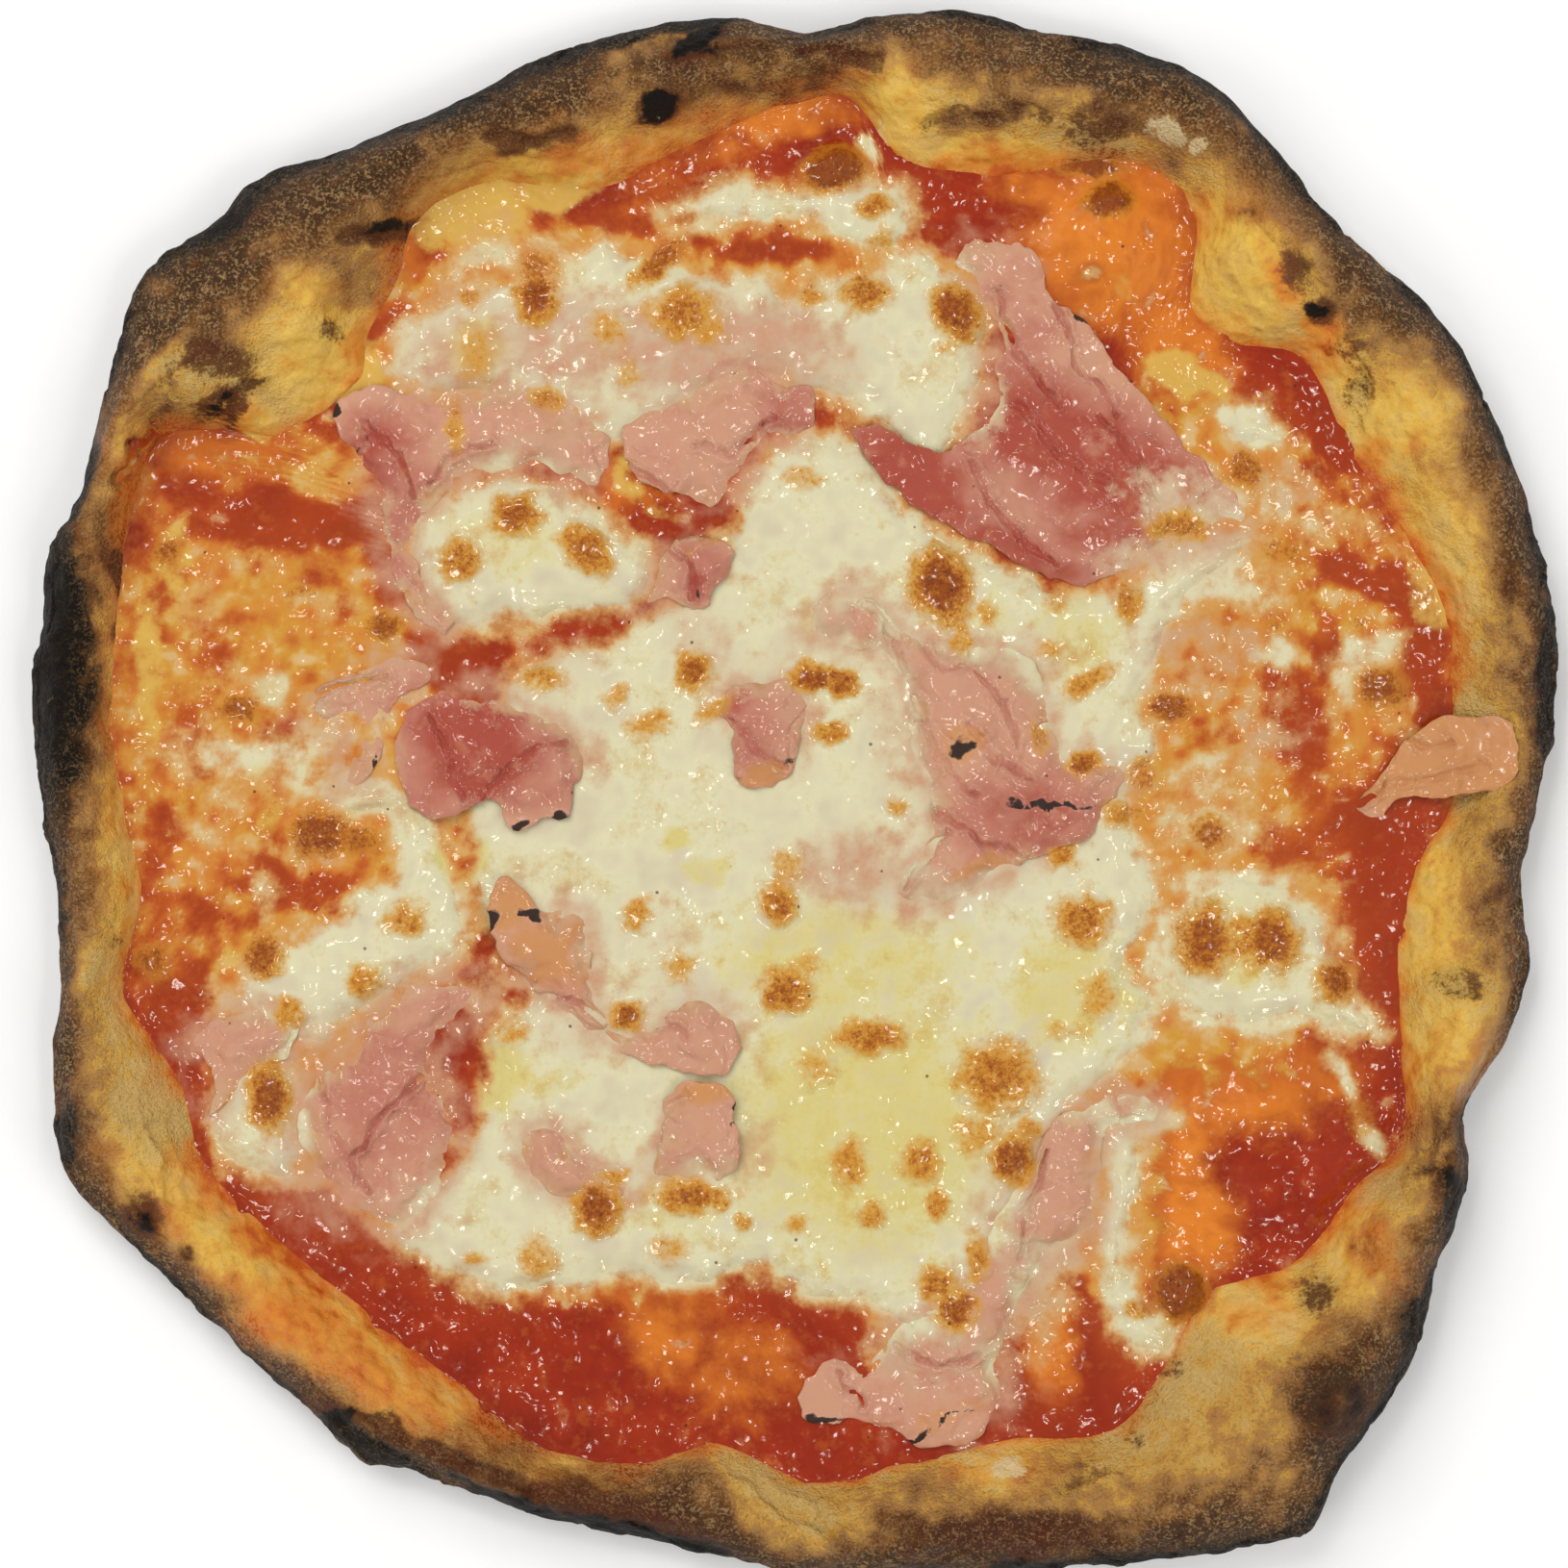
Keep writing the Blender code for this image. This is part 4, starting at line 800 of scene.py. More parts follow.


# how far the dark band of char and painted shade reaches in from the edge, and the orange stain out
# from the sauce, by angle
darkBand = aroundCurve((
    (0, 8), (12, 11), (20, 14), (30, 13), (40, 13), (48, 14), (60, 16), (75, 14), (88, 13), (97, 18),
    (105, 22), (118, 26), (132, 27), (143, 18), (152, 13), (160, 18), (170, 21), (178, 20), (184, 11),
    (198, 9), (207, 11), (215, 7), (228, 6), (238, 8), (246, 15), (257, 19), (262, 18), (268, 8),
    (274, 7), (281, 16), (292, 17), (302, 17), (310, 20), (318, 18), (328, 11), (338, 7), (348, 7),
))
stainReach = aroundCurve((
    (0, 3), (20, 5), (35, 3), (45, 5), (58, 3), (70, 5), (85, 3), (100, 5), (115, 4), (130, 6),
    (145, 5), (160, 6), (180, 3), (200, 4), (215, 7), (230, 8), (245, 6), (255, 3), (270, 2), (290, 2),
    (305, 3), (320, 4), (335, 3), (350, 2),
))


def makeCrustPiece(plan):
    # a chain is spun round, and its vertices then take their places ring by ring
    rings = plan["wellRings"] + plan["rimRings"] + plan["baseRings"]
    chain = [(0.0 if k in (0, rings - 1) else 50.0, 0.0, float(k)) for k in range(rings)]
    piece = makeObject("crust_visual", spinChain(chain, plan["turns"]))
    mesh = piece.data
    places = readPlaces(mesh)
    ring = np.rint(places[:, 2]).astype(int)
    angle = np.arctan2(places[:, 1], places[:, 0])
    degrees = np.degrees(angle)
    outer, foot, crest = outerRadius(degrees), footRadius(degrees), crestHeight(degrees)
    dough = plan["doughHeight"]
    # knots of the profile at each angle, from the foot of the rim to the edge of the underside
    knots = len(plan["rim"]) + 1
    radii, heights = np.empty((len(angle), knots)), np.empty((len(angle), knots))
    for k, (along, rise) in enumerate(plan["rim"]):
        radii[:, k] = foot + (outer - foot) * along
        heights[:, k] = dough + (crest - dough) * rise
    heights[:, -2] = crest * plan["rim"][-1][1]
    radii[:, -1] = outer - plan["baseInset"]
    heights[:, -1] = 0.0
    well, rim = plan["wellRings"], plan["rimRings"]
    travel = np.clip((ring - well + 1) / rim, 0.0, 1.0) * (knots - 1)
    k = np.minimum(travel.astype(int), knots - 2)
    t = travel - k
    row = np.arange(len(angle))
    picks = [np.clip(k + d, 0, knots - 1) for d in (-1, 0, 1, 2)]
    radius = catmull(*(radii[row, p] for p in picks), t)
    height = catmull(*(heights[row, p] for p in picks), t)
    inWell = ring < well
    radius = np.where(inWell, foot * ring / well, radius)
    inBase = ring >= well + rim
    baseShare = (rings - 1 - ring) / plan["baseRings"]
    radius = np.where(inBase, (outer - plan["baseInset"]) * baseShare, radius)
    x, y = radius * np.cos(angle), radius * np.sin(angle)
    wavy = lumps(x, y, 26.0, 1.3)
    height = np.where(inWell, dough - 2.0 + 0.5 * wavy, np.where(inBase, 0.0, height))
    share = np.clip(travel / (knots - 1), 0, 1)
    rough = smooth(share, 0.05, 0.2) * (1 - smooth(share, 0.86, 0.97))
    height += rough * rimLumps(x, y)
    height += np.where(share < 0.75, bubbleHeight(x, y), 0.0) * (1 - smooth(share, 0.6, 0.75))
    height = np.maximum(height, 0.0)
    writePlaces(mesh, np.stack([x, y, height], axis=1))
    # crags, blisters and flakes stand along the surface's own direction
    out = readNormals(mesh)
    if np.mean(out[:, 2] * (height > 8)) < 0:
        mesh.flip_normals()
        out = -out
    craggy = smooth(share, 0.08, 0.25) * (1 - smooth(share, 0.93, 1.0))
    wx, wy = wander(x, y, 2.2, 7.0, 151.0)
    dark = 1.15 * spots(toasted, wx, wy, 1.2)
    detail = 0.7 * lumps(x, y, 11.0, 3.0, height) + 0.42 * lumps(x, y, 4.6, 9.0, height)
    detail += (0.16 + 0.2 * dark) * lumps(x, y, 2.1, 5.0, height)
    flake = lumps(x, y, 6.5, 15.0, height)
    detail += dark * 0.5 * smooth(flake, 0.12, 0.3)
    detail -= 0.5 * smooth(0.035 - np.abs(lumps(x, y, 15.0, 21.0, height)), 0.0, 0.035)
    detail += 0.7 * spots(flourLumps, x, y)
    torn = np.zeros(x.shape)
    kx, ky = wander(x, y, 2.0, 5.0, 191.0)
    for path, width, depth, shadeStrength in cracks:
        near = smooth(1 - pathDistance(path, kx, ky) / (2.2 * width)) * (1 - smooth(share, 0.45, 0.62))
        detail += depth * (smooth(near, 0.0, 0.4) * 0.6 - 1.6 * smooth(near, 0.55, 1.0))
        # the dark along each crack is painted shade in the recess
        torn = np.maximum(torn, shadeStrength * smooth(near, 0.2, 0.8))
    places = np.stack([x, y, height], axis=1) + out * (craggy * detail)[:, None]
    places[:, 2] = np.maximum(places[:, 2], 0.0)
    x, y, height = places.T
    # darker towards the outer edge, partly char and partly painted shade where the rim falls away, and
    # where the tables say so
    flank = smooth(share, 0.72, 0.86)
    inward = outer - np.hypot(x, y)
    band = darkBand(degrees) * (1 + 0.7 * lumps(x, y, 15.0, 35.0))
    edge = np.clip(1.12 - 0.62 * inward / band, 0, 1)
    # the outer flank is painted at least this dark: char together with painted shade of the falling
    # flank
    edge = np.where(share > 0.79, np.maximum(edge, 0.8), edge)
    toast = np.maximum(dark, edge)
    across = np.clip(inward / np.maximum(outer - foot, 5.0), 0, 1)
    toast = np.maximum(toast, 0.5 - 0.32 * smooth(across, 0.3, 0.9) + 0.25 * lumps(x, y, 17.0, 40.0))
    toast -= 0.42 * spots(paleDough, wx, wy, 1.2) * (1 - flank)
    paint(mesh, "toast", toast)
    scorch = smooth(band / 14.0 + 1.2 * lumps(x, y, 14.0, 61.0, height), 0.3, 1.1)
    # black along the outer edge: char together with painted shade
    rimCharAndShade = (0.2 + 0.7 * scorch) * smooth(1 - inward / (0.36 * band), 0.0, 1.0)
    paint(mesh, "black", np.maximum(spots(charred, wx, wy), rimCharAndShade))
    stainWidth = stainReach(degrees) * (1.5 + 1.6 * lumps(x, y, 9.0, 44.0))
    sticky = 1.05 - (np.hypot(x, y) - foot) / stainWidth
    sticky *= 1 - 0.7 * spots(paleDough, x, y, 1.3)
    paint(mesh, "stain", np.maximum(sticky, spots(orangeDough, wx, wy, 1.3)))
    burnt = spots(scorched, x + 0.5 * (wx - x), y + 0.5 * (wy - y))
    # red-brown scorches, together with the painted shade in the cracks
    paint(mesh, "scorch", np.maximum(burnt, torn))
    paint(mesh, "floury", spots(flourLumps, wx, wy))
    paint(mesh, "gold", spots(golden, wx, wy, 1.3) * (1 - flank))
    paintNoise(mesh, x, y, height)
    paint(mesh, "under", np.where(inBase, 1.0, smooth(share, 0.95, 1.0)))
    settle(piece, places, crustFinish, ["crust"])
    return piece


crustPiece = makeCrustPiece(crustPlan)
print("crust ready", len(crustPiece.data.vertices))


# stretches of the slices' edges that stay bare of cheese
crispEdges = (
    (66, 80, 26, 8, -50, 1), (90, 56, 6, 6, 0, .6), (33, 56, 30, 9, -38, 1), (-86, 74, 10, 9, 0, 1),
    (-65, -5, 14, 6, -25, 1), (-50, -5, 8, 8, 0, 1), (-75, 12, 6, 8, 0, .8), (-58, -24, 6, 9, 0, 1),
    (128, 4, 22, 14, 0, 1), (8, -122, 16, 8, 0, 1), (30, -126, 14, 5, 20, 1), (-12, -64, 4, 12, 0, 1),
    (-24, -57, 12, 4, 0, .8), (-8, 4, 8, 8, 0, .8), (-28, 62, 10, 8, -45, .8), (-90, 18, 10, 6, 0, .5),
    (50, -6, 12, 6, 0, .7), (-14, 42, 8, 8, 0, .6), (-116, -52, 6, 6, 0, .5), (42, 106, 10, 4, 0, .6),
)


def borderOf(nodeName):
    # the edges of a slice's outline, as pairs of plan points
    bm = bmesh.new()
    bm.from_mesh(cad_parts[nodeName].data)
    bmesh.ops.remove_doubles(bm, verts=bm.verts[:], dist=1e-6)
    bm.normal_update()
    pairs = []
    for edge in bm.edges:
        ups = sorted(face.normal.z for face in edge.link_faces)
        if len(ups) == 2 and abs(ups[0]) < 0.35 and ups[1] > 0.35:
            pairs.append([toPlan(np.array(v.co))[:2] for v in edge.verts])
    bm.free()
    return pairs


def borderDistance(pairs, x, y):
    # distance to the nearest edge of an outline, worked out close to it only
    best = np.full(x.shape, 99.0)
    for start, end in pairs:
        near = (np.abs(x - start[0]) < 16) & (np.abs(y - start[1]) < 16)
        best[near] = np.minimum(best[near], stretchDistance(x[near], y[near], start, end))
    return best


hamNames = sorted(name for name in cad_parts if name.startswith("ham"))
hamBorders = {name: borderOf(name) for name in hamNames}
allHamBorders = [pair for pairs in hamBorders.values() for pair in pairs]
cheeseLoops = {name: closedCurve(plan, 3.0) for name, plan in cheesePlans.items()}
# oily, yellowish cheese
yellowOil = (
    (-60, -57, 9, 7, 0, .8), (-17, -16, 4.5, 3, 0, .65), (-24, -10, 3, 2.4, 0, .8),
    (-47, -58, 6, 5, 0, .5), (10, -34, 26, 12, 0, .65), (14, -66, 28, 26, 0, .75),
    (-18, 49, 7, 4, 0, .6), (-58, 49, 16, 7, -10, .5), (-63, 86, 5, 7, 0, .9), (30, 46, 8, 6, 0, .4),
    (88, -31, 9, 9, 0, .6), (-66, -13, 5, 4, 0, .9), (-22, -82, 14, 7, 0, .5), (14, 56, 5, 5, 0, .3),
    (56, 30, 9, 9, 0, .6), (54, -40, 12, 12, 0, .7), (-104, -2, 6, 6, 0, .6), (40, 34, 5, 8, 0, .5),
    (2, 34, 2, 4, 0, .6), (60, -92, 3, 4, 0, .5), (-66, -14, 4, 5, 0, .8), (-2, -84, 8, 8, 0, .4),
    (30, -80, 8, 12, 0, .5), (8, 84, 8, 6, 0, .25),
)
# ham that lies under the cheese, and cheese that lies over the slices
buriedHam = (
    (-64, 80, 12, 16, 10, .6), (-16, 87, 24, 9, 0, .8), (-46, 88, 12, 9, 0, .7), (6, 84, 9, 7, 0, .5),
    (14, -17, 14, 8, -10, .6), (76, 52, 12, 8, -30, .6), (-45, 24, 9, 5, 0, .35),
    (-18, 30, 7, 5, 0, .45), (12, 32, 12, 6, 0, .6), (-16, 26, 5, 7, 0, .45), (46, 25, 8, 6, 0, .5),
    (28, -112, 9, 6, 0, .5), (46, -84, 10, 20, -10, .55), (36, -120, 10, 5, 0, .6),
    (-28, -35, 8, 12, 0, .3), (-102, -45, 12, 4, -20, .5), (-118, -50, 7, 4, 0, .6),
    (-88, -66, 14, 18, 0, .75), (80, 28, 12, 8, 0, .42), (58, 2, 8, 7, 0, .55), (92, 10, 10, 6, 0, .3),
    (-70, 66, 14, 8, 0, .6), (24, 12, 10, 16, 0, .45), (40, -14, 14, 6, 20, .5),
    (60, -76, 4, 16, 0, .4), (-44, -44, 10, 8, 0, .4), (-8, -72, 5, 8, 0, .4),
    (-66, 44, 7, 10, 30, .3), (96, 60, 8, 5, 0, .3),
)
veiledHam = (
    (78, 55, 13, 6, -25, .9), (28, -114, 12, 7, 0, .55), (70, 48, 10, 3, 10, .6),
    (-58, 68, 12, 4, 0, .5), (14, 33, 10, 4, 0, .5), (26, -18, 8, 4, 0, .5), (40, 26, 10, 5, -20, .6),
    (-46, 66, 6, 5, 0, .5), (-34, -28, 6, 4, 0, .5), (45, -92, 5, 18, 15, .75),
    (28, -108, 8, 4, 0, .8), (36, 104, 6, 3, 0, .4), (-90, 18, 6, 3, 20, .5),
    (-100, -60, 4, 12, 0, .7), (36, 74, 6, 5, 0, .5), (66, -66, 8, 4, 0, .6), (20, 12, 4, 14, 0, .5),
    (-16, -74, 6, 3, 0, .5), (-78, -80, 8, 5, 0, .5), (52, 104, 4, 2, 0, .3), (24, 2, 4, 10, 0, .4),
)
toppingPlan = {
    "cheeseThick": 1.9, "sauceThick": 1.2, "meltWidth": 6.0, "sink": 0.9,
    "sauceTurns": 600, "sauceRings": 128,
    # size of the cheese's faces, how far its sheet starts beyond the plan, and the sheet's thickness
    "step": 0.8, "margin": 4.5, "skirt": -3.6, "slab": 0.4,
}


def ragged(distance, x, y):
    # makes the edge of a cheese patch uneven
    return distance + 2.2 * lumps(x, y, 9.0, 51.0) + 1.5 * lumps(x, y, 4.0, 77.0)


def cheeseAt(x, y):
    # signed distance to the nearest edge of a cheese patch, positive on the cheese
    best = np.full(len(x), -99.0)
    for loop in cheeseLoops.values():
        low, high = loop.min(axis=0) - 12, loop.max(axis=0) + 12
        near = (x > low[0]) & (x < high[0]) & (y > low[1]) & (y < high[1])
        if near.any():
            best[near] = np.maximum(best[near], loopDistance(loop, x[near], y[near]))
    return best


def sauceHeight(x, y):
    # top of the sauce, with the lumps of what is molten into it
    base = toppingPlan["sauceThick"] + 0.3 + crustPlan["doughHeight"]
    wavy = 0.5 * lumps(x, y, 26.0, 1.3) + 0.3 * lumps(x, y, 14.0, 9.4)
    rough = 0.3 * lumps(x, y, 7.0, 12.0) + 0.18 * lumps(x, y, 2.8, 30.0)
    return base + wavy + bubbleHeight(x, y) + rough


def paintTopping(mesh, x, y):
    wx, wy = wander(x, y, 2.6, 6.5, 161.0)
    field = ragged(cheeseAt(x, y), x, y)
    # the white patches include a few painted glints
    paint(mesh, "cheese", np.maximum(0.5 + field / 9.0, spots(whitePatchesAndGlints, wx, wy, 1.2) * 0.85))
    paint(mesh, "film", spots(films, wx, wy, 1.25) + 0.4 * smooth(field, -8.0, 0.0))
    paint(mesh, "brown", browned(x, y))
    for name, table, soft in (("bare", bareSauce, 1.1), ("orange", orangeSauce, 1.3),
                              ("dough", doughPatches, 1.1), ("oil", yellowOil, 1.2)):
        paint(mesh, name, spots(table, wx, wy, soft))
    close = 1 - borderDistance(allHamBorders, x, y) / (7.0 + 6.0 * lumps(x, y, 8.0, 171.0))
    close = 0.5 * np.clip(close, 0, 1) * (1 - spots(crispEdges, x, y, 1.2))
    paint(mesh, "ham", np.maximum(spots(buriedHam, wx, wy, 1.2) * 0.8, close))
    paintNoise(mesh, x, y)


def slabFrom(bm, depth):
    # closes a sheet into a thin solid below it
    grown = bmesh.ops.extrude_face_region(bm, geom=bm.faces[:], use_keep_orig=True)
    lower = [g for g in grown["geom"] if isinstance(g, bmesh.types.BMVert)]
    bmesh.ops.translate(bm, verts=lower, vec=(0, 0, -depth))
    bmesh.ops.recalc_face_normals(bm, faces=bm.faces[:])


def rimHeight(x, y):
    # the crust's surface between the foot and the crest of the rim
    degrees = np.degrees(np.arctan2(y, x))
    outer, foot, crest = outerRadius(degrees), footRadius(degrees), crestHeight(degrees)
    across = (np.hypot(x, y) - foot) / (outer - foot)
    shares, rises = zip(*crustPlan["rim"][:6])
    rough = smooth(across, 0.05, 0.2) * rimLumps(x, y)
    dough = crustPlan["doughHeight"]
    return dough + (crest - dough) * np.interp(across, shares, rises) + rough + bubbleHeight(x, y)


def makeSauce(plan):
    # a round sheet with a wall below its edge and a flat floor
    rings = plan["sauceRings"]
    bm = spinChain([(float(k), 0.0, 0.0) for k in range(rings + 1)], plan["sauceTurns"])
    for vert in bm.verts:
        vert.co.z = 0.0
    border = [e for e in bm.edges if e.is_boundary]
    grown = bmesh.ops.extrude_edge_only(bm, edges=border)
    wall = [g for g in grown["geom"] if isinstance(g, bmesh.types.BMVert)]
    for vert in wall:
        vert.co.z = -1.0
    bmesh.ops.edgeloop_fill(bm, edges=[e for e in bm.edges if e.is_boundary])
    bmesh.ops.recalc_face_normals(bm, faces=bm.faces[:])
    piece = makeObject("sauce_visual", bm)
    mesh = piece.data
    places = readPlaces(mesh)
    below = places[:, 2] < -0.5     # the wall's lower edge
    angle = np.arctan2(places[:, 1], places[:, 0])
    share = np.hypot(places[:, 0], places[:, 1]) / rings
    bare = footRadius(np.degrees(angle))
    foot = bare + 4.5 + 1.5 * lumps(np.cos(angle) * 120, np.sin(angle) * 120, 9.0, 3.0)
    x, y = foot * share * np.cos(angle), foot * share * np.sin(angle)
    height = sauceHeight(x, y) + 0.8 * blisterHeight(x, y) * (cheeseAt(x, y) < 1.0)
    past = foot * share - bare
    smear = 0.9 * lumps(x, y, 8.0, 173.0) + 0.4 * lumps(x, y, 3.0, 177.0) - 0.1 - 0.3 * past
    height = np.where(past > -2.0, np.maximum(height - 0.3, rimHeight(x, y) + smear), height)
    height = np.where(below, crustPlan["doughHeight"] - 1.2, height)
    paintTopping(mesh, x, y)
    settle(piece, np.stack([x, y, height], axis=1), sauceFinish, ["sauce"])


def makeCheese(name, loop, plan):
    # a sheet that dips into the sauce all round, so that its edge looks molten
    low = loop.min(axis=0) - plan["margin"]
    across, up = loop.max(axis=0) + plan["margin"] - low
    bm = bmesh.new()
    bmesh.ops.create_grid(bm, x_segments=int(across / plan["step"]),
                          y_segments=int(up / plan["step"]), size=0.5)
    for vert in bm.verts:
        vert.co = Vector((low[0] + (vert.co.x + 0.5) * across, low[1] + (vert.co.y + 0.5) * up, 0.0))
    x, y = np.array([v.co.xy for v in bm.verts]).T
    field = ragged(loopDistance(loop, x, y), x, y)
    outside = [v for v, f in zip(bm.verts, field) if f < plan["skirt"]]
    bmesh.ops.delete(bm, geom=outside, context="VERTS")
    loose = [v for v in bm.verts if not v.link_faces]
    bmesh.ops.delete(bm, geom=loose, context="VERTS")
    slabFrom(bm, plan["slab"])
    piece = makeObject(name + "_visual", bm)
    mesh = piece.data
    places = readPlaces(mesh)
    x, y = places[:, 0], places[:, 1]
    field = ragged(loopDistance(loop, x, y), x, y)
    rise = smooth(field, -2.6, plan["meltWidth"])
    thick = plan["cheeseThick"] + 0.5 * lumps(x, y, 16.0, 3.3)
    wrinkle = 0.4 * lumps(x, y, 11.0, 71.0) + 0.16 * lumps(x, y, 5.0, 81.0)
    wrinkle -= 0.12 * smooth(0.05 - np.abs(lumps(x, y, 9.0, 93.0)), 0.0, 0.05)
    height = sauceHeight(x, y) - plan["sink"] + rise * (plan["sink"] + thick * 0.85 + wrinkle)
    height += blisterHeight(x, y) * smooth(field, -1.0, 1.5)
    places[:, 2] += height
    paintTopping(mesh, x, y)
    settle(piece, places, cheeseFinish, [name])


makeSauce(toppingPlan)
print("sauce ready")
for name, loop in cheeseLoops.items():
    makeCheese(name, loop, toppingPlan)
print("cheese ready")

# the slices of ham: how finely they are made, torn, waved, molten in at the edge and folded
hamPlan = {
    "levels": 3, "tear": 1.2, "wave": 0.9, "meltWidth": 6.5, "sink": 2.0,
    "foldWidth": 2.0, "foldDepth": 0.7,
}
# folds pressed into the slices
foldLines = (
    ((-62, -1), (-56, 4), (-50, 8), (-45, 9)), ((-72, 14), (-68, 6), (-66, -2)),
    ((-74, -57), (-80, -63), (-88, -74)), ((8, -115), (11, -119), (14, -122)),
    ((112, -3), (118, 1), (126, 2), (136, 5)), ((120, 12), (124, 8), (129, 9)),
    ((35, 65), (38, 57), (44, 50), (52, 44)), ((52, 96), (56, 84), (64, 74)),
    ((40, 98), (44, 86), (52, 76)), ((-85, 72), (-78, 66), (-75, 58)),
    ((-20, 68), (-12, 66), (-4, 74)), ((24, 18), (28, 6), (36, -2)), ((30, -8), (26, -14), (22, -20)),
    ((-94, -56), (-92, -68), (-84, -80)), ((-40, -34), (-30, -44), (-20, -50)),
    ((50, -72), (46, -84), (44, -96)), ((20, -110), (28, -114), (36, -112)),
    ((-12, 14), (-8, 8), (-2, 4)), ((-34, 64), (-26, 60), (-20, 50)), ((14, 36), (20, 30), (22, 22)),
    ((-100, 16), (-90, 20), (-80, 22)), ((22, 31), (28, 25), (36, 23)), ((34, 13), (39, 6), (47, 2)),
    ((28, -4), (36, -10), (45, -14)), ((36, 22), (42, 16), (44, 8)), ((-24, 48), (-21, 44), (-20, 38)),
    ((60, 74), (68, 64), (72, 52)), ((44, 76), (52, 66), (62, 60)), ((-72, 60), (-68, 66), (-60, 68)),
    ((-54, -40), (-44, -42), (-38, -46)),
)
# how red each slice is: x, y, half length, half width, turn, strength; the folds' creases are also
# painted redder as painted shade
redHam = (
    (56, 66, 24, 10, -25, .95), (24, 62, 14, 7, -40, .95), (45, 46, 14, 4, -25, .8),
    (-64, 8, 12, 11, 0, .9), (46, -6, 12, 8, 0, .55), (-78, 56, 8, 12, 0, .5), (-82, 66, 6, 7, 0, .7),
    (-48, -2, 7, 5, 0, .4), (-80, -60, 10, 16, -30, .35), (30, -118, 14, 6, 20, .05),
    (132, 5, 10, 5, 0, .15), (-50, -34, 8, 8, 0, .2), (46, 84, 6, 14, 0, .3), (0, 74, 5, 6, 0, .5),
    (-18, 44, 5, 5, 0, .4), (-8, 10, 5, 8, 0, .4), (64, 52, 14, 4, 15, .7), (-12, 17, 4, 3, 0, .6),
    (-19, 40, 2, 2.6, 0, .8), (38, 28, 5, 3, -20, .5),
)
# black edges and specks, and a line of painted fold shadow at -18, -58.5
charHam = (
    (56.5, 94.5, 4, 1.3, -40, 1), (-91.5, 75, 2, 1.5, 0, 1), (-54.5, -7.5, 2, 1.2, 30, 1),
    (-46.5, -6.5, 2.4, 2, 45, 1), (50, -3.3, 9, 0.8, -3, .9), (0, -127, 4, 3, 0, 1),
    (4, -125.5, 5, 1.2, 10, 1), (24, -128.5, 3.2, .8, 30, .85), (31, -124, 6, .45, 22, .65),
    (-12, -64, .5, 6, 0, .7), (-19, 38, 1, 1.6, 0, .6), (-1, 5, 3.2, .7, 40, .6),
    (33, 8, 2.6, 2.2, 0, .8), (-60, -26, 1.5, 2.5, 0, .8), (-52, -25, 3, 1, -40, .8),
    (112, -4.5, 1, .8, 0, .5), (-11, 3, 1, 3, 0, .4), (-83, 5, 1, 2, 0, .8), (-86, 66, .5, 7, -20, .6),
    # painted shadow of the fold at the top of the lower roll
    (-18, -58.5, 3, .4, 0, .5),
)
# browned places, and a strip of painted fold shadow at -18, -60
toastHam = (
    (-57, -23, 5, 6, -30, .9), (112, -3, 5, 4, 0, .5), (2, 2, 5, 3, 20, .7), (30, -124, 12, 3, 20, .6),
    # the spot at (-18, -60) is painted shadow of a fold, not browning
    (-6, 3, 5, 3, 20, .8), (-18, -60, 6, 2.6, 0, .9), (33, 9, 5, 4, 0, .8), (36, -17, 9, 3, 30, .8),
    (128, 5, 22, 12, 0, 1.0), (-16, -68, 5, 8, 0, .3), (36, 34, 5, 3, 0, .4), (-44, -32, 14, 8, 0, .8),
    (-12, 6, 2, 6, 0, .4), (78, 56, 6, 4, 0, .4), (36, -20, 8, 2, 30, .5), (-90, 20, 8, 4, 20, .4),
)


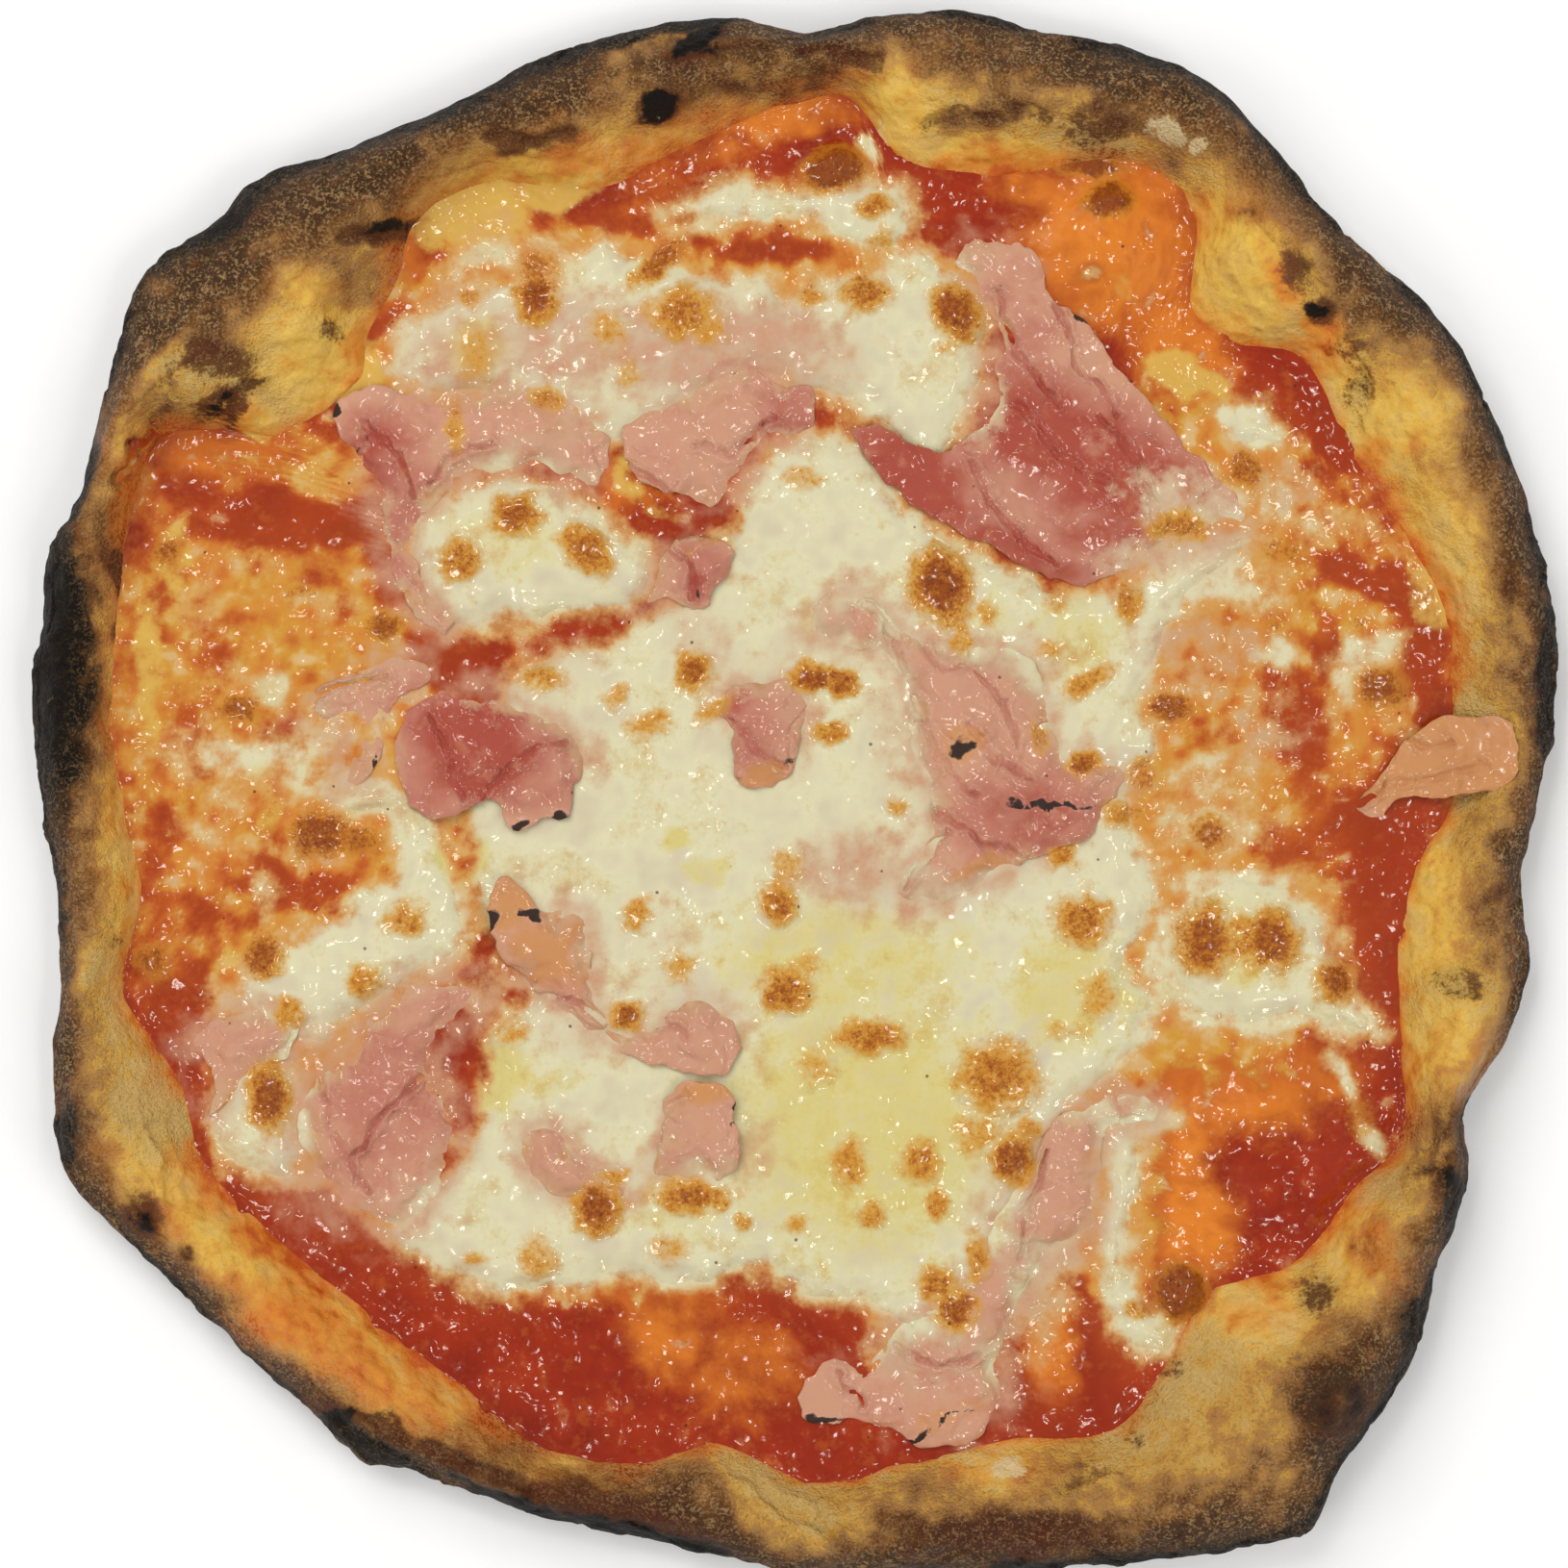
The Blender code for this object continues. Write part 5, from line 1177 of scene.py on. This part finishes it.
def makeHamSlice(name, plan):
    # starts from the slice's solid, made finer and then torn and crumpled
    bm = bmesh.new()
    bm.from_mesh(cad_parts[name].data)
    bmesh.ops.remove_doubles(bm, verts=bm.verts[:], dist=1e-6)
    start = makeObject(name + "_start", bm)
    finer = start.modifiers.new("finer", "SUBSURF")
    finer.levels = finer.render_levels = plan["levels"]
    finished = start.evaluated_get(bpy.context.evaluated_depsgraph_get())
    mesh = bpy.data.meshes.new_from_object(finished)
    bpy.data.objects.remove(start)
    mesh.name = name + "_visual"
    piece = bpy.data.objects.new(name + "_visual", mesh)
    scene.collection.objects.link(piece)
    places = toPlan(readPlaces(mesh))
    x, y = places[:, 0].copy(), places[:, 1].copy()
    inward = borderDistance(hamBorders[name], x, y)
    soft = 1 - spots(crispEdges, x, y, 1.2)
    melt = soft * (1 - smooth(inward, 0.0, plan["meltWidth"]))
    places[:, 0] += plan["tear"] * lumps(x, y, 4.5, 110.0) + 0.5 * lumps(x, y, 1.9, 113.0)
    places[:, 1] += plan["tear"] * lumps(x, y, 4.5, 120.0) + 0.5 * lumps(x, y, 1.9, 123.0)
    places[:, 2] += plan["wave"] * lumps(x, y, 9.0, 130.0) + 0.22 * lumps(x, y, 3.5, 133.0) - 0.25
    places[:, 2] -= 0.4 * smooth(0.06 - np.abs(lumps(x, y, 13.0, 137.0)), 0.0, 0.06)
    nearest = np.min([pathDistance(fold, x, y) for fold in foldLines], axis=0)
    crease = smooth(1 - nearest / plan["foldWidth"])
    places[:, 2] += plan["foldDepth"] * (smooth(crease, 0.0, 0.5) - 2.0 * smooth(crease, 0.45, 1.0))
    places[:, 2] -= plan["sink"] * melt
    x, y = places[:, 0], places[:, 1]
    paintTopping(mesh, x, y)
    # cheese shows again near the molten edges and where it lies over the slice
    molten = 1 - smooth(inward + 3.0 * lumps(x, y, 6.0, 141.0), -1.0, plan["meltWidth"])
    covered = np.clip(spots(veiledHam, x, y, 1.2), 0, 1)
    paint(mesh, "ham", 1.05 - 0.62 * soft * molten - 0.6 * covered)
    paint(mesh, "cheese", 0.6 + 0.4 * covered)
    paint(mesh, "brown", browned(x, y) * (soft * 0.6 + 0.4 * covered > 0.3))
    # the folds' creases are painted redder, as painted shade
    paint(mesh, "red", spots(redHam, x, y, 1.2) + 0.25 * smooth(crease, 0.5, 1.0))
    paint(mesh, "char", spots(charHam, *wander(x, y, 1.6, 2.6, 181.0)))
    paint(mesh, "toast", spots(toastHam, x, y, 1.1))
    mesh.polygons.foreach_set("use_smooth", np.ones(len(mesh.polygons), bool))
    mesh.materials.clear()
    settle(piece, places, hamFinish, [name])


for name in hamNames:
    makeHamSlice(name, hamPlan)
print("ham ready")

# floor, camera and light, in metres
stagePlan = {
    "floor": rgb(255, 255, 255), "floorSize": 3.0, "floorHeight": -0.0005, "floorRoughness": 0.8,
    "cameraHeight": 0.9, "lens": 103.7, "sensor": 36.0, "middle": (-2.09, 0.86),
    # wide soft lights, which the wet parts don't mirror: name, place, power
    "wideLights": (("key", (-0.45, 0.7, 1.1), 9.6), ("fill", (0.8, -0.35, 1.0), 5.7),
                   ("window", (-0.9, -0.5, 1.0), 4.1)),
    "wideSize": 0.9,
    # small lamps that make them glint: four above, and a ring of eight
    "lampPlaces": ((-0.42, -0.34, 1.1), (0.42, 0.26, 1.1), (-0.26, 0.46, 1.1), (0.36, -0.42, 1.1)),
    "ringLamps": 8, "ringRadius": 1.2, "ringTurn": 0.2, "ringHeights": (0.7, 0.45),
    "lampSize": 0.1, "lampPower": 0.5, "lampColour": (1.0, 0.95, 0.87),
    "world": 0.18,
}
floorMesh = bmesh.new()
bmesh.ops.create_grid(floorMesh, x_segments=1, y_segments=1, size=stagePlan["floorSize"])
bmesh.ops.translate(floorMesh, verts=floorMesh.verts[:], vec=(0, 0, stagePlan["floorHeight"]))
floor = makeObject("floor", floorMesh)
floorFinish = Finish("plain_floor")
floor.data.materials.append(
    floorFinish.set(Base_Color=stagePlan["floor"], Roughness=stagePlan["floorRoughness"]))

camera = bpy.data.objects.new("camera", bpy.data.cameras.new("camera"))
camera.data.lens = stagePlan["lens"]
camera.data.sensor_width = stagePlan["sensor"]
middleX, middleY = stagePlan["middle"]
camera.location = ((middleX - shiftX) * milli, (middleY - shiftY) * milli, stagePlan["cameraHeight"])
scene.collection.objects.link(camera)
scene.camera = camera


def addLight(name, place, size, power, colour=(1, 1, 1)):
    light = bpy.data.lights.new(name, "AREA")
    light.shape = "SQUARE"
    light.size = size
    light.energy = power
    light.color = colour
    lamp = bpy.data.objects.new(name, light)
    lamp.location = place
    lamp.rotation_euler = (Vector((0, 0, 0)) - Vector(place)).to_track_quat("-Z", "Y").to_euler()
    scene.collection.objects.link(lamp)
    return lamp


for name, place, power in stagePlan["wideLights"]:
    addLight(name, place, stagePlan["wideSize"], power).visible_glossy = False
lampPlaces = list(stagePlan["lampPlaces"])
for k in range(stagePlan["ringLamps"]):
    angle = stagePlan["ringTurn"] + math.tau * k / stagePlan["ringLamps"]
    radius, height = stagePlan["ringRadius"], stagePlan["ringHeights"][k % 2]
    lampPlaces.append((radius * math.cos(angle), radius * math.sin(angle), height))
lampValues = stagePlan["lampSize"], stagePlan["lampPower"], stagePlan["lampColour"]
for number, place in enumerate(lampPlaces):
    addLight("lamp_%d" % number, place, *lampValues)
world = bpy.data.worlds.new("studio")
world.use_nodes = True
glow = world.node_tree.nodes["Background"]
glow.inputs["Color"].default_value = (1, 1, 1, 1)
glow.inputs["Strength"].default_value = stagePlan["world"]
scene.world = world
scene.view_settings.view_transform = "Standard"

print("scene ready")
